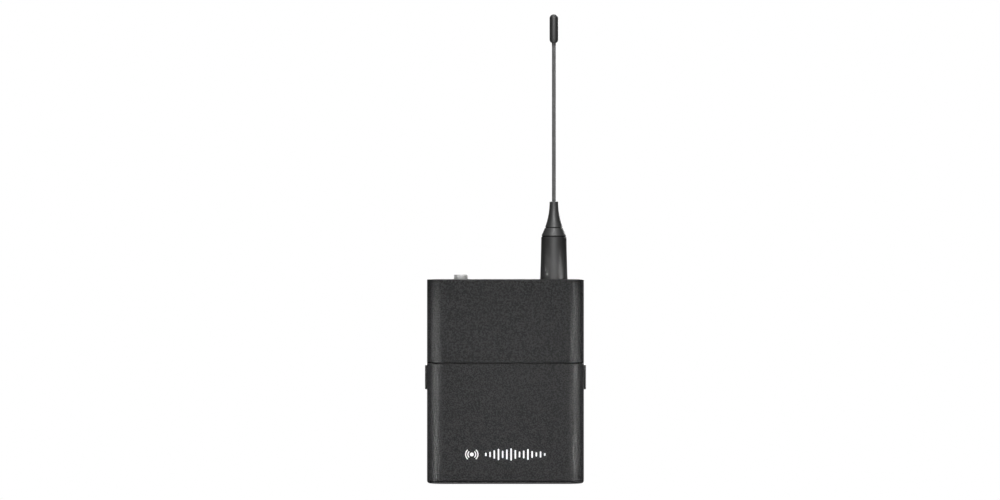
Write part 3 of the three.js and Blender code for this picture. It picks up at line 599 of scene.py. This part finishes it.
def door():
    rings = []
    for end, outer, wall, z, limit in door_sections():
        rings.append([(x, max(y, limit), z) for x, y in half_shell(-1, end, outer, wall)])
    parts = []
    for z in (16, 38):
        parts.append(slab_between((-13.5, 13.5), (-8.9, -7.1), (z, z + 1)))
    for side in (-1, 1):
        strike = ordered(side * 28.6, side * 30.8)
        parts.append(slab_between(strike, (-5.6, -4.6), (CATCH_Z - 2.75, CATCH_Z + 2.75), 0.15))
        for way in (-1, 1):
            inner = side * HINGE_X + way * 2.3
            x0, x1 = ordered(inner, inner + way * 2.7)
            parts.append(round_x([(0.75, x0), (HINGE_R, x0), (HINGE_R, x1), (0.75, x1)], HINGE_Y, HINGE_Z))
    return dress(
        bare("door_shell", together(loft(rings), *parts)),
        "door",
        "door",
        ["battery_door"],
    )


def ordered(a, b):
    return (a, b) if a < b else (b, a)


def slab_between(xs, ys, zs, edge=0.12, r=0.12):
    """A box between pairs of coordinates, with softened edges."""
    centre = ((xs[0] + xs[1]) / 2, (ys[0] + ys[1]) / 2)
    return slab(xs[1] - xs[0], ys[1] - ys[0], r + 0.01, zs[0], zs[1], edge, centre, 3)


def round_x(profile, y, z, sides=40, r=0.12):
    """A (radius, x) profile turned about an axis along X."""
    return shift(turn(lathe(soften(profile + [profile[0]], r)[:-1], sides), "Y", 90), 0, y, z)


def corner_lump(side):
    """The solid block behind the casing's back corner that the clip's socket is sunk in."""
    arc_part = arc(HALF_W - BACK_R, HALF_D - BACK_R, BACK_R - 0.05, 0, 90, 14)
    outline = [(HALF_W - 0.05, 3.2)] + arc_part + [(23.5, HALF_D - 0.05), (23.5, 3.2)]
    made = loft([[(x, y, z) for x, y in outline] for z in (CLIP_Z - 4.2, CLIP_Z + 4.2)])
    return made if side > 0 else mirror(made)


def clip_cut(side):
    """The notch at the back corner and the socket that opens into it."""
    notch = slab_between((28.6, 36), (4.6, 16), (CLIP_Z - 3.2, CLIP_Z + 3.2), 0.5, 0.5)
    made = notch, round_x([(0.0001, 24.3), (1.15, 24.3), (1.15, 30), (0.0001, 30)], CLIP_Y, CLIP_Z)
    return [m if side > 0 else mirror(m) for m in made]


def window_cut(side):
    """The side window of a catch, chamfered on the outside."""
    rings = []
    for grow, x in ((0, 29.0), (0, 31.82), (0.3, 32.12)):
        w, h = CATCH_W + 0.3 + 2 * grow, CATCH_H + 0.3 + 2 * grow
        rings.append([(x, y, z) for y, z in rounded_rect(w, h, 0.45 + grow, 5, (CATCH_Y, CATCH_Z))])
    made = loft(rings)
    return made if side > 0 else mirror(made)


def screw_cut(x, z):
    """A counterbore from the back with a small chamfer."""
    profile = [(0, 6.5), (1.1, 6.5), (1.1, 8.55), (2.15, 8.55), (2.15, 9.95), (2.45, 10.25), (0, 10.25)]
    return shift(turn(lathe(profile, 40), "X", -90), x, 0, z)


def housing():
    rings = []
    for inset, z in fillet(0, BASE_ROUND, 1, 12):
        if z > LIP_TOP + 0.01:
            rings.append((HOUSING_END, inset, WALL, z))
    start = BASE_ROUND * (1 - math.sin(math.acos(1 - LIP_TOP / BASE_ROUND)))
    rings.insert(0, (HOUSING_END, start, WALL, LIP_TOP))
    rings.append((HOUSING_END, 0, WALL, LEDGE_Z))
    rings.append((HOUSING_END, 0, LEDGE_WALL, LEDGE_Z))
    rings.append((HOUSING_END, 0, LEDGE_WALL, PLATE_Z))
    rings.append((HOUSING_END, 0, WALL, PLATE_Z))
    for inset, z in fillet(TOP, 0.3, -1):
        rings.append((HOUSING_END + inset * 0.5, inset, WALL - inset * 0.5, z))
    shell = loft([[(x, y, z) for x, y in half_shell(1, e, o, w)] for e, o, w, z in rings])
    add, cut = [], []
    for side in (-1, 1):
        add.append(corner_lump(side))
        cut += clip_cut(side)
        cut.append(window_cut(side))
        for x, z in ((26, 75), (24, 11)):
            boss = lathe([(0, 6.9), (2.6, 6.9), (3.1, 8.4), (3.1, 9.7), (0, 9.7)], 40)
            add.append(shift(turn(boss, "X", -90), side * x, 0, z))
            cut.append(screw_cut(side * x, z))
    recess = slab(40.6, 16.6, 0.8, 9.95, 10.6, 0.02, steps=6)
    cut.append(shift(turn(recess, "X", -90), 0, 0, 70))
    back = combine("housing_shell", shell, add, cut)
    dress(back, "housing", "chassis", ["rear_housing"])

    lip = [level for level in fillet(0, BASE_ROUND, 1, 12) if level[1] < LIP_TOP]
    base = stack(full_outline, lip + [(start, LIP_TOP)])
    floor = [
        slab_between((-30.4, 30.4), (-2.5, 8.6), (0.85, 1.5)),
        slab_between((-28.4, 28.4), (-6.1, -2.4), (0.85, 1.5)),
    ]
    for side in (-1, 1):
        x0, x1 = side * HINGE_X - 2, side * HINGE_X + 2
        floor.append(slab_between((x0, x1), (-6.0, -4.0), (1.4, HINGE_Z + 1.2), 0.15))
        floor.append(slab_between((x0, x1), (HINGE_Y, -4.8), (HINGE_Z - 0.2, HINGE_Z + 1.2), 0.1))
        floor.append(round_x([(0.68, x0), (1.2, x0), (1.2, x1), (0.68, x1)], HINGE_Y, HINGE_Z))
    dress(bare("housing_base", together(base, *floor)), "housing", "chassis", ())


def top_plate():
    levels = fillet(PLATE_Z + 0.05, 0.1, 1, 2) + fillet(PLATE_TOP, 0.2, -1, 3)
    plate = stack(lambda i: full_outline(WALL + 0.15 + i), levels)
    low, top = PLATE_Z - 0.5, PLATE_TOP + 0.05
    holes = []
    for x, r in ((JACK_X, 3.0), (ANTENNA_X, 2.2), (-LED_X, 1.02), (LED_X, 1.02)):
        profile = [(0, low), (r, low), (r, top - 0.25), (r + 0.3, top + 0.05), (0, top + 0.05)]
        holes.append(lathe(profile, 48, (x, 0)))
    rings = []
    for grow, z in ((0, low), (0, PLATE_TOP - 0.2), (0.25, top)):
        rings.append([(x, y, z) for x, y in rounded_rect(9.4 + 2 * grow, 4.8 + 2 * grow, 2.4 + grow, 12)])
    holes.append(loft(rings))
    panel = combine("top_plate_panel", plate, (), holes)
    dress(panel, "plate", "chassis", ["top_plate"])


def screws():
    """Six-lobed screws in the back."""
    profile = [(0, -1.5), (0.75, -1.5), (0.75, 7.6), (1.9, 7.6), (1.9, 8.3), (1.35, 8.85), (0, 8.9)]
    head = lathe(soften(profile, 0.1), 40)
    lobes = []
    for i in range(48):
        a = TURN * i / 48
        r = 0.82 + 0.17 * math.cos(6 * a)
        lobes.append((r * math.cos(a), r * math.sin(a)))
    drive = loft([[(x, y, z) for x, y in lobes] for z in (8.1, 9.5)])
    seat = 8.65 - 7.6
    for level, x, z in (("upper", 26, 75), ("lower", 24, 11)):
        for word, side in (("left", -1), ("right", 1)):
            placed = [shift(turn(m, "X", -90), side * x, seat, z) for m in (head, drive)]
            screw = combine(f"screw_{level}_{word}", placed[0], (), placed[1:])
            dress(screw, "screw", "chassis", [f"case_screw_{level}_{word}"])


def label():
    plate = shift(turn(slab(40, 16, 0.6, 9.98, 10.1, 0.04, steps=6), "X", -90), 0, 0, 70)
    dress(bare("rear_label_film", plate), "label", "chassis", ["rear_label"])


# ---------------------------------------------------------------- generic print on the door


def bar(x0, x1, z0, z1, r=0.25):
    """A flat round-ended bar of ink on the door's face."""
    points = rounded_rect(x1 - x0, z1 - z0, min(r, (x1 - x0) / 2 - 0.01, (z1 - z0) / 2 - 0.01), 4)
    cx, cz = (x0 + x1) / 2, (z0 + z1) / 2
    return ink([(cx + x, cz + z) for x, z in points])


def ink(outline):
    return loft([[(x, y, z) for x, z in outline] for y in (-HALF_D + 0.01, -HALF_D - 0.012)])


def door_print():
    """Radio arcs about a dot, and a row of level bars."""
    x, z = -13.7, 12.05
    parts = [ink(arc(x, z, 0.8, 0, 345, 23))]
    for r in (1.6, 2.5):
        for middle in (0, 180):
            band = arc(x, z, r + 0.22, middle - 48, middle + 48, 16)
            parts.append(ink(band + arc(x, z, r - 0.22, middle + 48, middle - 48, 16)))
    heights = (1.4, 2.2, 3.4, 4.6, 3.0, 4.0, 5.0, 3.6, 2.4, 3.2, 4.4, 2.8, 1.8, 2.6, 1.2)
    for i, h in enumerate(heights):
        left = -8.3 + 1.71 * i
        parts.append(bar(left, left + 0.65, z - h / 2, z + h / 2, 0.32))
    dress(bare("door_print", together(*parts)), "ink", "door")


# ---------------------------------------------------------------- catches and hinge


def catches():
    for word, side in (("left", -1), ("right", 1)):
        way = (lambda m: m) if side > 0 else mirror
        rings = []
        for inset, x in fillet(29.4, 0.1, 1, 2) + fillet(HALF_W + 0.9, 0.3, -1, 5):
            w, h = CATCH_W - 2 * inset, CATCH_H - 2 * inset
            rings.append([(x, y, z) for y, z in rounded_rect(w, h, 0.5, 5, (CATCH_Y, CATCH_Z))])
        grooves = []
        for i in range(5):
            z = CATCH_Z + 1.5 * (i - 2)
            across = (CATCH_Y - 2.1, CATCH_Y + 2.1)
            grooves.append(way(slab_between((32.58, 33.4), across, (z - 0.34, z + 0.34), 0.3, 0.15)))
        button = combine(f"catch_cap_{word}", way(loft(rings)), (), grooves)
        dress(button, "catch", f"catch_{word}", [f"catch_button_{word}"])
        inner = together(
            slab_between((28.9, 30.1), (-1.5, 5.6), (CATCH_Z - 5.87, CATCH_Z + 5.57), 0.15),
            slab_between((27.6, 29.1), (-1.5, -0.4), (CATCH_Z - 2.7, CATCH_Z + 2.7), 0.12),
            round_x([(0.0001, 27.4), (1.1, 27.4), (1.1, 29.1), (0.0001, 29.1)], CATCH_Y, CATCH_Z),
        )
        dress(bare(f"catch_flange_{word}", way(inner)), "catch", f"catch_{word}", ())
        hook = together(
            slab_between((27.15, 27.55), (-6.4, -0.5), (CATCH_Z - 2.15, CATCH_Z + 2.15), 0.08, 0.05),
            slab_between((27.15, 28.3), (-6.4, -5.85), (CATCH_Z - 2.15, CATCH_Z + 2.15), 0.08, 0.1),
        )
        leaf = bare(f"catch_leaf_{word}", way(hook))
        dress(leaf, "steel", f"catch_{word}", [f"catch_hook_{word}"])
        turns, r, wire = 6.5, 1.75, 0.2
        path = []
        for i in range(int(turns * 20) + 1):
            a = TURN * i / 20
            x = 24.6 + 4.0 * i / (turns * 20)
            path.append((x, CATCH_Y + r * math.cos(a), CATCH_Z + r * math.sin(a)))
        spring = bare(f"catch_coil_{word}", way(tube(path, wire, 10)))
        dress(spring, "steel", "chassis", [f"catch_spring_{word}"], 60)
        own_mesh(spring)


def hinge_pins():
    for word, side in (("left", -1), ("right", 1)):
        x0, x1 = side * HINGE_X - 4.7, side * HINGE_X + 4.7
        pin = round_x([(0.0001, x0), (0.6, x0), (0.6, x1), (0.0001, x1)], HINGE_Y, HINGE_Z)
        dress(bare(f"hinge_rod_{word}", pin), "steel", "chassis", [f"hinge_pin_{word}"])


# ---------------------------------------------------------------- cells and their contacts


def cells():
    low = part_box("battery_cell_left")[0].z / MM
    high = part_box("battery_cell_right")[1].z / MM
    for word, x, z, flip in (("left", -CELL_X, low, False), ("right", CELL_X, high, True)):
        can = [(0, 0), (4.6, 0), (4.9, 0.25), (6.2, 0.3), (6.6, 0.1), (CELL_R, 0.55), (CELL_R, BAND_Z)]
        can += [(CELL_R, 48.8), (6.6, 49.3), (5.6, 49.2), (5.2, 48.8), (3.2, 48.75), (2.75, 49.0)]
        can += [(2.6, 50.3), (2.3, 50.5), (0, 50.5)]
        made = lathe(soften(can, 0.12), 72)
        made = turn(made, "X", 180) if flip else made
        cell = bare(f"cell_{word}", shift(made, x, CELL_Y, z))
        dress(cell, "sleeve", "chassis", [f"battery_cell_{word}"])
        cell.data.materials.append(MAT["band"])
        cell.data.materials.append(MAT["tin"])
        for face in cell.data.polygons:
            height = abs(face.center.z / MM - z)
            reach = math.hypot(face.center.x / MM - x, face.center.y / MM - CELL_Y)
            if reach < 6.3:
                face.material_index = 2
            elif height > BAND_Z:
                face.material_index = 1


def cell_springs():
    """Tapered coils at the cells' flat ends."""
    for word, x, turn_over in (("lower", -CELL_X, False), ("upper", CELL_X, True)):
        low, high = (corner.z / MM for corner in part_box(f"{word}_cell_spring"))
        wire = 0.3
        path = []
        count = 132
        for i in range(count + 1):
            t = i / count
            a = TURN * 3.6 * t
            r = 4.3 - 2.1 * t
            z = low + wire + (high - low - 2 * wire) * (1 - t if turn_over else t)
            path.append((x + r * math.cos(a), CELL_Y + r * math.sin(a), z))
        spring = bare(f"{word}_cell_coil", tube(path, wire, 10))
        dress(spring, "steel", "chassis", [f"{word}_cell_spring"], 60)


# ---------------------------------------------------------------- top fittings


def jack():
    """A threaded sleeve with a chamfered mouth, and its ring nut."""
    foot, flange, tail = PLATE_Z - 0.5, PLATE_Z - 0.6, PLATE_Z - 5.5
    crest, depth, pitch = 2.85, 0.1, 0.38
    sides, rows = 72, 108
    rings = []
    for j in range(rows + 1):
        z = foot + (JACK_TOP - foot) * j / rows
        ring = []
        for i in range(sides):
            phase = ((z - foot) / pitch + i / sides) % 1.0
            valley = depth * (1 - abs(2 * phase - 1)) ** 1.2
            limit = crest - 0.25 * max(0.0, 1 - (JACK_TOP - z) / 0.3)
            r = min(crest - valley, limit)
            a = TURN * i / sides
            ring.append((r * math.cos(a), r * math.sin(a), z))
        rings.append(ring)
    angles = [TURN * i / sides for i in range(sides)]
    for r, z in ((1.98, JACK_TOP), (1.8, JACK_TOP - 0.2), (1.8, tail), (2.6, tail), (2.6, flange)):
        rings.append([(r * math.cos(a), r * math.sin(a), z) for a in angles])
    verts = [p for ring in rings for p in ring]
    faces = []
    for j in range(len(rings)):
        upper = (j + 1) % len(rings)
        for i in range(sides):
            k = (i + 1) % sides
            faces.append((j * sides + i, j * sides + k, upper * sides + k, upper * sides + i))
    low, high = PLATE_Z - 0.55, PLATE_Z - 0.02
    collar = lathe(soften([(2.7, low), (3.6, low), (3.6, high), (2.7, high), (2.7, low)], 0.08)[:-1], 48)
    sleeve = shift(together((verts, faces), collar), JACK_X)
    dress(bare("jack_thread", sleeve), "jack", "chassis", ["jack_sleeve"], 40)

    low, high = PLATE_TOP + 0.07, TOP - 0.05
    ring_nut = [(2.93, low), (3.3, low), (3.3, high - 0.2), (3.12, high), (2.93, high), (2.93, low)]
    slots = []
    for degrees in (0, 90, 180, 270):
        notch = slab_between((2.6, 3.7), (-0.4, 0.4), (high - 0.35, high + 0.4), 0.05, 0.05)
        slots.append(shift(turn(notch, "Z", degrees + 45), JACK_X))
    nut = combine("jack_nut", shift(lathe(soften(ring_nut, 0.06)[:-1], 64), JACK_X), (), slots)
    dress(nut, "jack", "chassis", ["jack_ring_nut"])


def power_button():
    face = PLATE_TOP - 0.1
    dish = [(0.6, face - 0.02), (1.0, face - 0.12), (1.5, face - 0.17), (1.9, face - 0.18)]
    cap = stack(
        lambda i: rounded_rect(9.0 - 2 * i, 4.4 - 2 * i, 2.2 - i, 14),
        [(0, PLATE_Z - 0.1)] + fillet(face, 0.35, -1, 5) + dish,
    )
    skirt = slab(10.4, 5.8, 2.9, PLATE_Z - 0.9, PLATE_Z - 0.05, 0.1, steps=12)
    low, high = PLATE_Z - 2.5, PLATE_Z - 0.8
    stem = lathe(soften([(0, low), (1.3, low), (1.3, high), (0, high)], 0.1), 40)
    dress(
        bare("power_cap", together(cap, skirt, stem)),
        "catch",
        "power_button",
        ["power_button"],
    )


def light_pipes():
    for word, x in (("link", -LED_X), ("data", LED_X)):
        low, high = (corner.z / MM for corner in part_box(f"{word}_light_pipe"))
        profile = [(0, low), (0.9, low), (0.9, high - 0.25), (0.78, high - 0.1)]
        profile += [(0.5, high - 0.02), (0, high)]
        pipe = lathe(profile, 40, (x, 0))
        dress(bare(f"{word}_lens", pipe), "lens", "chassis", [f"{word}_light_pipe"])


def sync_button():
    """The round pairing button in the bay."""
    profile = [(0, -5.8), (1.3, -5.8), (1.3, -6.2), (3.4, -6.2), (3.4, -6.85), (2.6, -6.85), (2.6, -7.6)]
    profile += [(2.45, -7.75), (1.9, -7.7), (0, -7.6)]
    made = shift(turn(lathe(soften([(r, -y) for r, y in profile], 0.1), 56), "X", 90), SYNC_X, 0, SYNC_Z)
    dress(bare("sync_cap", made), "catch", "sync_button", ["sync_button"])


# ---------------------------------------------------------------- antenna


def flank(z):
    """The radius of the antenna's hollowed flank."""
    left = (CONE[1] - z) / (CONE[1] - COLLAR[0])
    return FLANK_R1 + (FLANK_R0 - FLANK_R1) * left**FLANK_POWER


def antenna():
    foot = (ANTENNA_X, 0)
    base = PLATE_TOP + 0.05
    grip = [(0, base)]
    for i in range(15):
        t = i / 14
        grip.append((5.17 + 0.45 * (1 - t) ** 1.3, base + (SLEEVE_TOP - 0.1 - base) * t))
    grip += [(5.05, SLEEVE_TOP), (0, SLEEVE_TOP)]
    dress(
        bare("antenna_grip", lathe(grip, 96, foot)),
        "grip",
        "chassis",
        ["antenna_base_sleeve"],
    )

    low, high = COLLAR
    collar = [(0, low), (4.98, low), (flank(low + 0.12), low + 0.12)]
    collar += [(flank(low + 0.4 * i), low + 0.4 * i) for i in range(1, 8)]
    collar += [(flank(high - 0.1), high - 0.1), (flank(high) - 0.12, high), (0, high)]
    ring = bare("antenna_ring", lathe(collar, 96, foot))
    dress(ring, "rubber", "chassis", ["antenna_collar"])

    low, high = CONE
    cone = [(0, low), (flank(low) - 0.12, low), (flank(low + 0.1), low + 0.1)]
    cone += [(flank(z), z) for z in [low + 0.5 * i for i in range(1, 21)]]
    cone += [(FLANK_R1, high - 0.22), (1.65, high - 0.05), (1.2, high), (0, high)]
    taper = bare("antenna_taper", lathe(cone, 72, foot))
    dress(taper, "rubber", "chassis", ["antenna_cone"])

    core = lathe([(0, 85.6), (0.74, 85.6), (0.74, high - 0.05), (0, high - 0.05)], 24, foot)
    dress(bare("antenna_rod", core), "steel", "chassis", ["antenna_core"])
    bands = []
    for r, z0, z1, sides in ((4.85, SLEEVE_TOP, COLLAR[0], 72), (3.35, COLLAR[1], low, 64)):
        bands.append(lathe([(0, z0 - 0.1), (r, z0 - 0.1), (r, z1 + 0.1), (0, z1 + 0.1)], sides, foot))
    dress(bare("antenna_grooves", together(*bands)), "groove", "chassis", ())


def whip():
    """A wire laid up of strands under a thin coat, then its smooth ferrule and the tip."""
    z0, z1, strands, lay, sides = 111.6, WHIP_TOP + 0.1, 7, 7.5, 56
    rows = int((z1 - z0) / 0.16)
    rings = []
    for j in range(rows + 1):
        z = z0 + (z1 - z0) * j / rows
        ring = []
        for i in range(sides):
            a = TURN * i / sides
            ridge = abs(math.cos(0.5 * strands * (a - TURN * z / lay)))
            r = 0.66 + 0.12 * ridge**0.8
            ring.append((ANTENNA_X + r * math.cos(a), r * math.sin(a), z))
        rings.append(ring)
    wire = dress(bare("whip_wire", loft(rings)), "whip", None, ["antenna_whip"], 75)
    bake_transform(wire)

    tip = [(0, WHIP_TOP - 0.05), (0.8, WHIP_TOP - 0.05), (FERRULE_R, 179.85)]
    for a in map(math.radians, range(5, 91, 12)):
        tip.append((FERRULE_R + (TIP_R - FERRULE_R) * math.sin(a), TIP_SHOULDER - 1.5 * math.cos(a)))
    dome = TIP_TOP - 1.75
    tip.append((TIP_R, dome))
    for a in map(math.radians, range(9, 90, 9)):
        tip.append((TIP_R * math.cos(a), dome + 1.75 * math.sin(a)))
    tip.append((0, TIP_TOP))
    dress(
        bare("whip_tip", lathe(tip, 72, (ANTENNA_X, 0))),
        "tip",
        "whip",
        ["antenna_tip"],
    )


# ---------------------------------------------------------------- belt clip


def clip_line():
    """The clip wire's centreline: the frame's own points, smoothed the way the CAD's curve is."""
    z = CLIP_Z
    half = [
        (24.5, 7.0, z),
        (27.5, 7.0, z),
        (29.6, 7.5, z),
        (30.4, 9.2, z),
        (30.4, 11.5, z),
        (30.4, 14.6, z - 0.8),
        (30.1, 15.9, z - 3.5),
        (27.6, 15.9, z - 12),
        (20.5, 15.9, z - 25),
        (16.5, 14.9, z - 32),
        (15.2, 12.4, z - 36),
        (14.2, 11.55, z - 38.5),
        (11.5, 12.2, z - 41),
        (6.5, 13.2, z - 42.6),
        (0, 13.5, z - 43),
    ]
    points = [Vector(p) for p in half + [(-x, y, w) for x, y, w in half[-2::-1]]]
    ends = [points[0] * 2 - points[1]], [points[-1] * 2 - points[-2]]
    padded = ends[0] + points + ends[1]
    line = []
    for p0, p1, p2, p3 in zip(padded, padded[1:], padded[2:], padded[3:]):
        t1 = (p1 - p0).length ** 0.5
        t2 = t1 + (p2 - p1).length ** 0.5
        t3 = t2 + (p3 - p2).length ** 0.5
        for i in range(10):
            t = t1 + (t2 - t1) * i / 10
            a1 = p0 * ((t1 - t) / t1) + p1 * (t / t1)
            a2 = p1 * ((t2 - t) / (t2 - t1)) + p2 * ((t - t1) / (t2 - t1))
            a3 = p2 * ((t3 - t) / (t3 - t2)) + p3 * ((t - t2) / (t3 - t2))
            b1 = a1 * ((t2 - t) / t2) + a2 * (t / t2)
            b2 = a2 * ((t3 - t) / (t3 - t1)) + a3 * ((t - t1) / (t3 - t1))
            line.append(b1 * ((t2 - t) / (t2 - t1)) + b2 * ((t - t1) / (t2 - t1)))
    return line + [points[-1]]


def belt_clip():
    wire = tube(clip_line(), 0.99, 24)
    dress(bare("clip_wire", wire), "clip", "belt_clip", ["belt_clip"], 60)


# ---------------------------------------------------------------- pieces kept from the CAD


def keep(material, bevel, *names):
    """CAD nodes whose shape is right: a better material and, with bevel in mm, softened edges."""
    for name in names:
        obj = nodes[name]
        obj.data.materials.clear()
        obj.data.materials.append(MAT[material])
        if bevel:
            soft = obj.modifiers.new("soft_edges", "BEVEL")
            soft.width = bevel * MM
            soft.segments = 2
            soft.limit_method = "ANGLE"
            soft.angle_limit = math.radians(50)
            soft.harden_normals = False


cover()
door()
housing()
top_plate()
screws()
label()
door_print()
catches()
hinge_pins()
cells()
cell_springs()
jack()
power_button()
light_pipes()
sync_button()
antenna()
whip()
belt_clip()

keep("frame", 0.12, "bay_frame")
keep("board", 0.05, "main_board", "control_board")
keep("tin", 0.06, "rf_shield_can", "bridge_contact", "positive_contact", "negative_contact")
keep("tin", 0.06, "link_led", "data_led")
keep("chip", 0.08, "processor_chip", "audio_codec_chip", "power_inductor")
keep("chip", 0.08, "power_switch", "sync_switch", "jack_body")
keep("ribbon", 0, "flat_cable")
keep("brass", 0.04, "jack_tip_spring", "jack_ring_spring")
keep("brass", 0.04, "antenna_stud", "antenna_nut", "antenna_feed_spring")
keep("tin", 0.04, "antenna_washer")
keep("lens", 0.05, "power_switch_plunger", "sync_switch_plunger")


# ---------------------------------------------------------------- floor, light and camera


def flat_light(name, place, aim, width, height, power, spread=180):
    data = bpy.data.lights.new(name, "AREA")
    data.shape = "RECTANGLE"
    data.size = width
    data.size_y = height
    data.energy = power
    data.spread = math.radians(spread)
    light = bpy.data.objects.new(name, data)
    light.location = place
    light.rotation_euler = (Vector(aim) - Vector(place)).to_track_quat("-Z", "Y").to_euler()
    light.visible_camera = False
    bpy.context.scene.collection.objects.link(light)


def studio():
    world = bpy.data.worlds.new("studio")
    world.use_nodes = True
    tree = world.node_tree
    seen = tree.nodes["Background"]
    seen.inputs["Color"].default_value = (1, 1, 1, 1)
    seen.inputs["Strength"].default_value = 1.0
    lit = tree.nodes.new("ShaderNodeBackground")
    lit.inputs["Color"].default_value = (1, 1, 1, 1)
    lit.inputs["Strength"].default_value = 0.045
    path = tree.nodes.new("ShaderNodeLightPath")
    choose = tree.nodes.new("ShaderNodeMixShader")
    tree.links.new(path.outputs["Is Camera Ray"], choose.inputs["Fac"])
    tree.links.new(lit.outputs["Background"], choose.inputs[1])
    tree.links.new(seen.outputs["Background"], choose.inputs[2])
    tree.links.new(choose.outputs["Shader"], tree.nodes["World Output"].inputs["Surface"])
    bpy.context.scene.world = world

    corners = [(x, y, -0.2) for x, y in ((-4000, -4000), (4000, -4000), (4000, 4000), (-4000, 4000))]
    floor = bare("floor", (corners, [(0, 1, 2, 3)]))
    pale = bpy.data.materials.new("floor_pale")
    pale.use_nodes = True
    glow = pale.node_tree.nodes.new("ShaderNodeEmission")
    glow.inputs["Color"].default_value = (1, 1, 1, 1)
    output = pale.node_tree.nodes["Material Output"]
    pale.node_tree.links.new(glow.outputs["Emission"], output.inputs["Surface"])
    floor.data.materials.append(pale)
    floor.visible_diffuse = False
    floor.visible_glossy = False
    floor.visible_shadow = False

    middle = (0, 0, 0.07)
    flat_light("front_soft", (0, -1.1, 0.5), middle, 0.5, 0.3, 3.8)
    flat_light("front_high", (0.02, -0.35, 0.45), (0.02, 0, 0.12), 0.12, 0.12, 0.55)
    for side in (-1, 1):
        flat_light("strip", (side * 0.27, -0.17, 0.03), (side * 0.02, 0, 0.0365), 0.05, 0.09, 0.0135, 8)
        flat_light("side_box", (side * 0.7, -1.0, 0.2), middle, 0.4, 0.8, 0.05)
    flat_light("top_soft", (0, 0.1, 1.2), middle, 0.9, 0.6, 4.5)
    flat_light("low_front", (0, -0.7, -0.6), (0, 0, 0.02), 0.8, 0.3, 3.2)
    flat_light("back_soft", (0.3, 1.5, 0.7), middle, 1.0, 0.8, 40)


def camera():
    data = bpy.data.cameras.new("camera")
    data.lens = 150
    data.sensor_width = 36
    view = bpy.data.objects.new("camera", data)
    view.location = (-0.00223, -1.704, 0.09516)
    view.rotation_euler = (math.radians(90), 0, 0)
    bpy.context.scene.collection.objects.link(view)
    bpy.context.scene.camera = view


studio()
camera()
bpy.context.scene.view_settings.view_transform = "Standard"
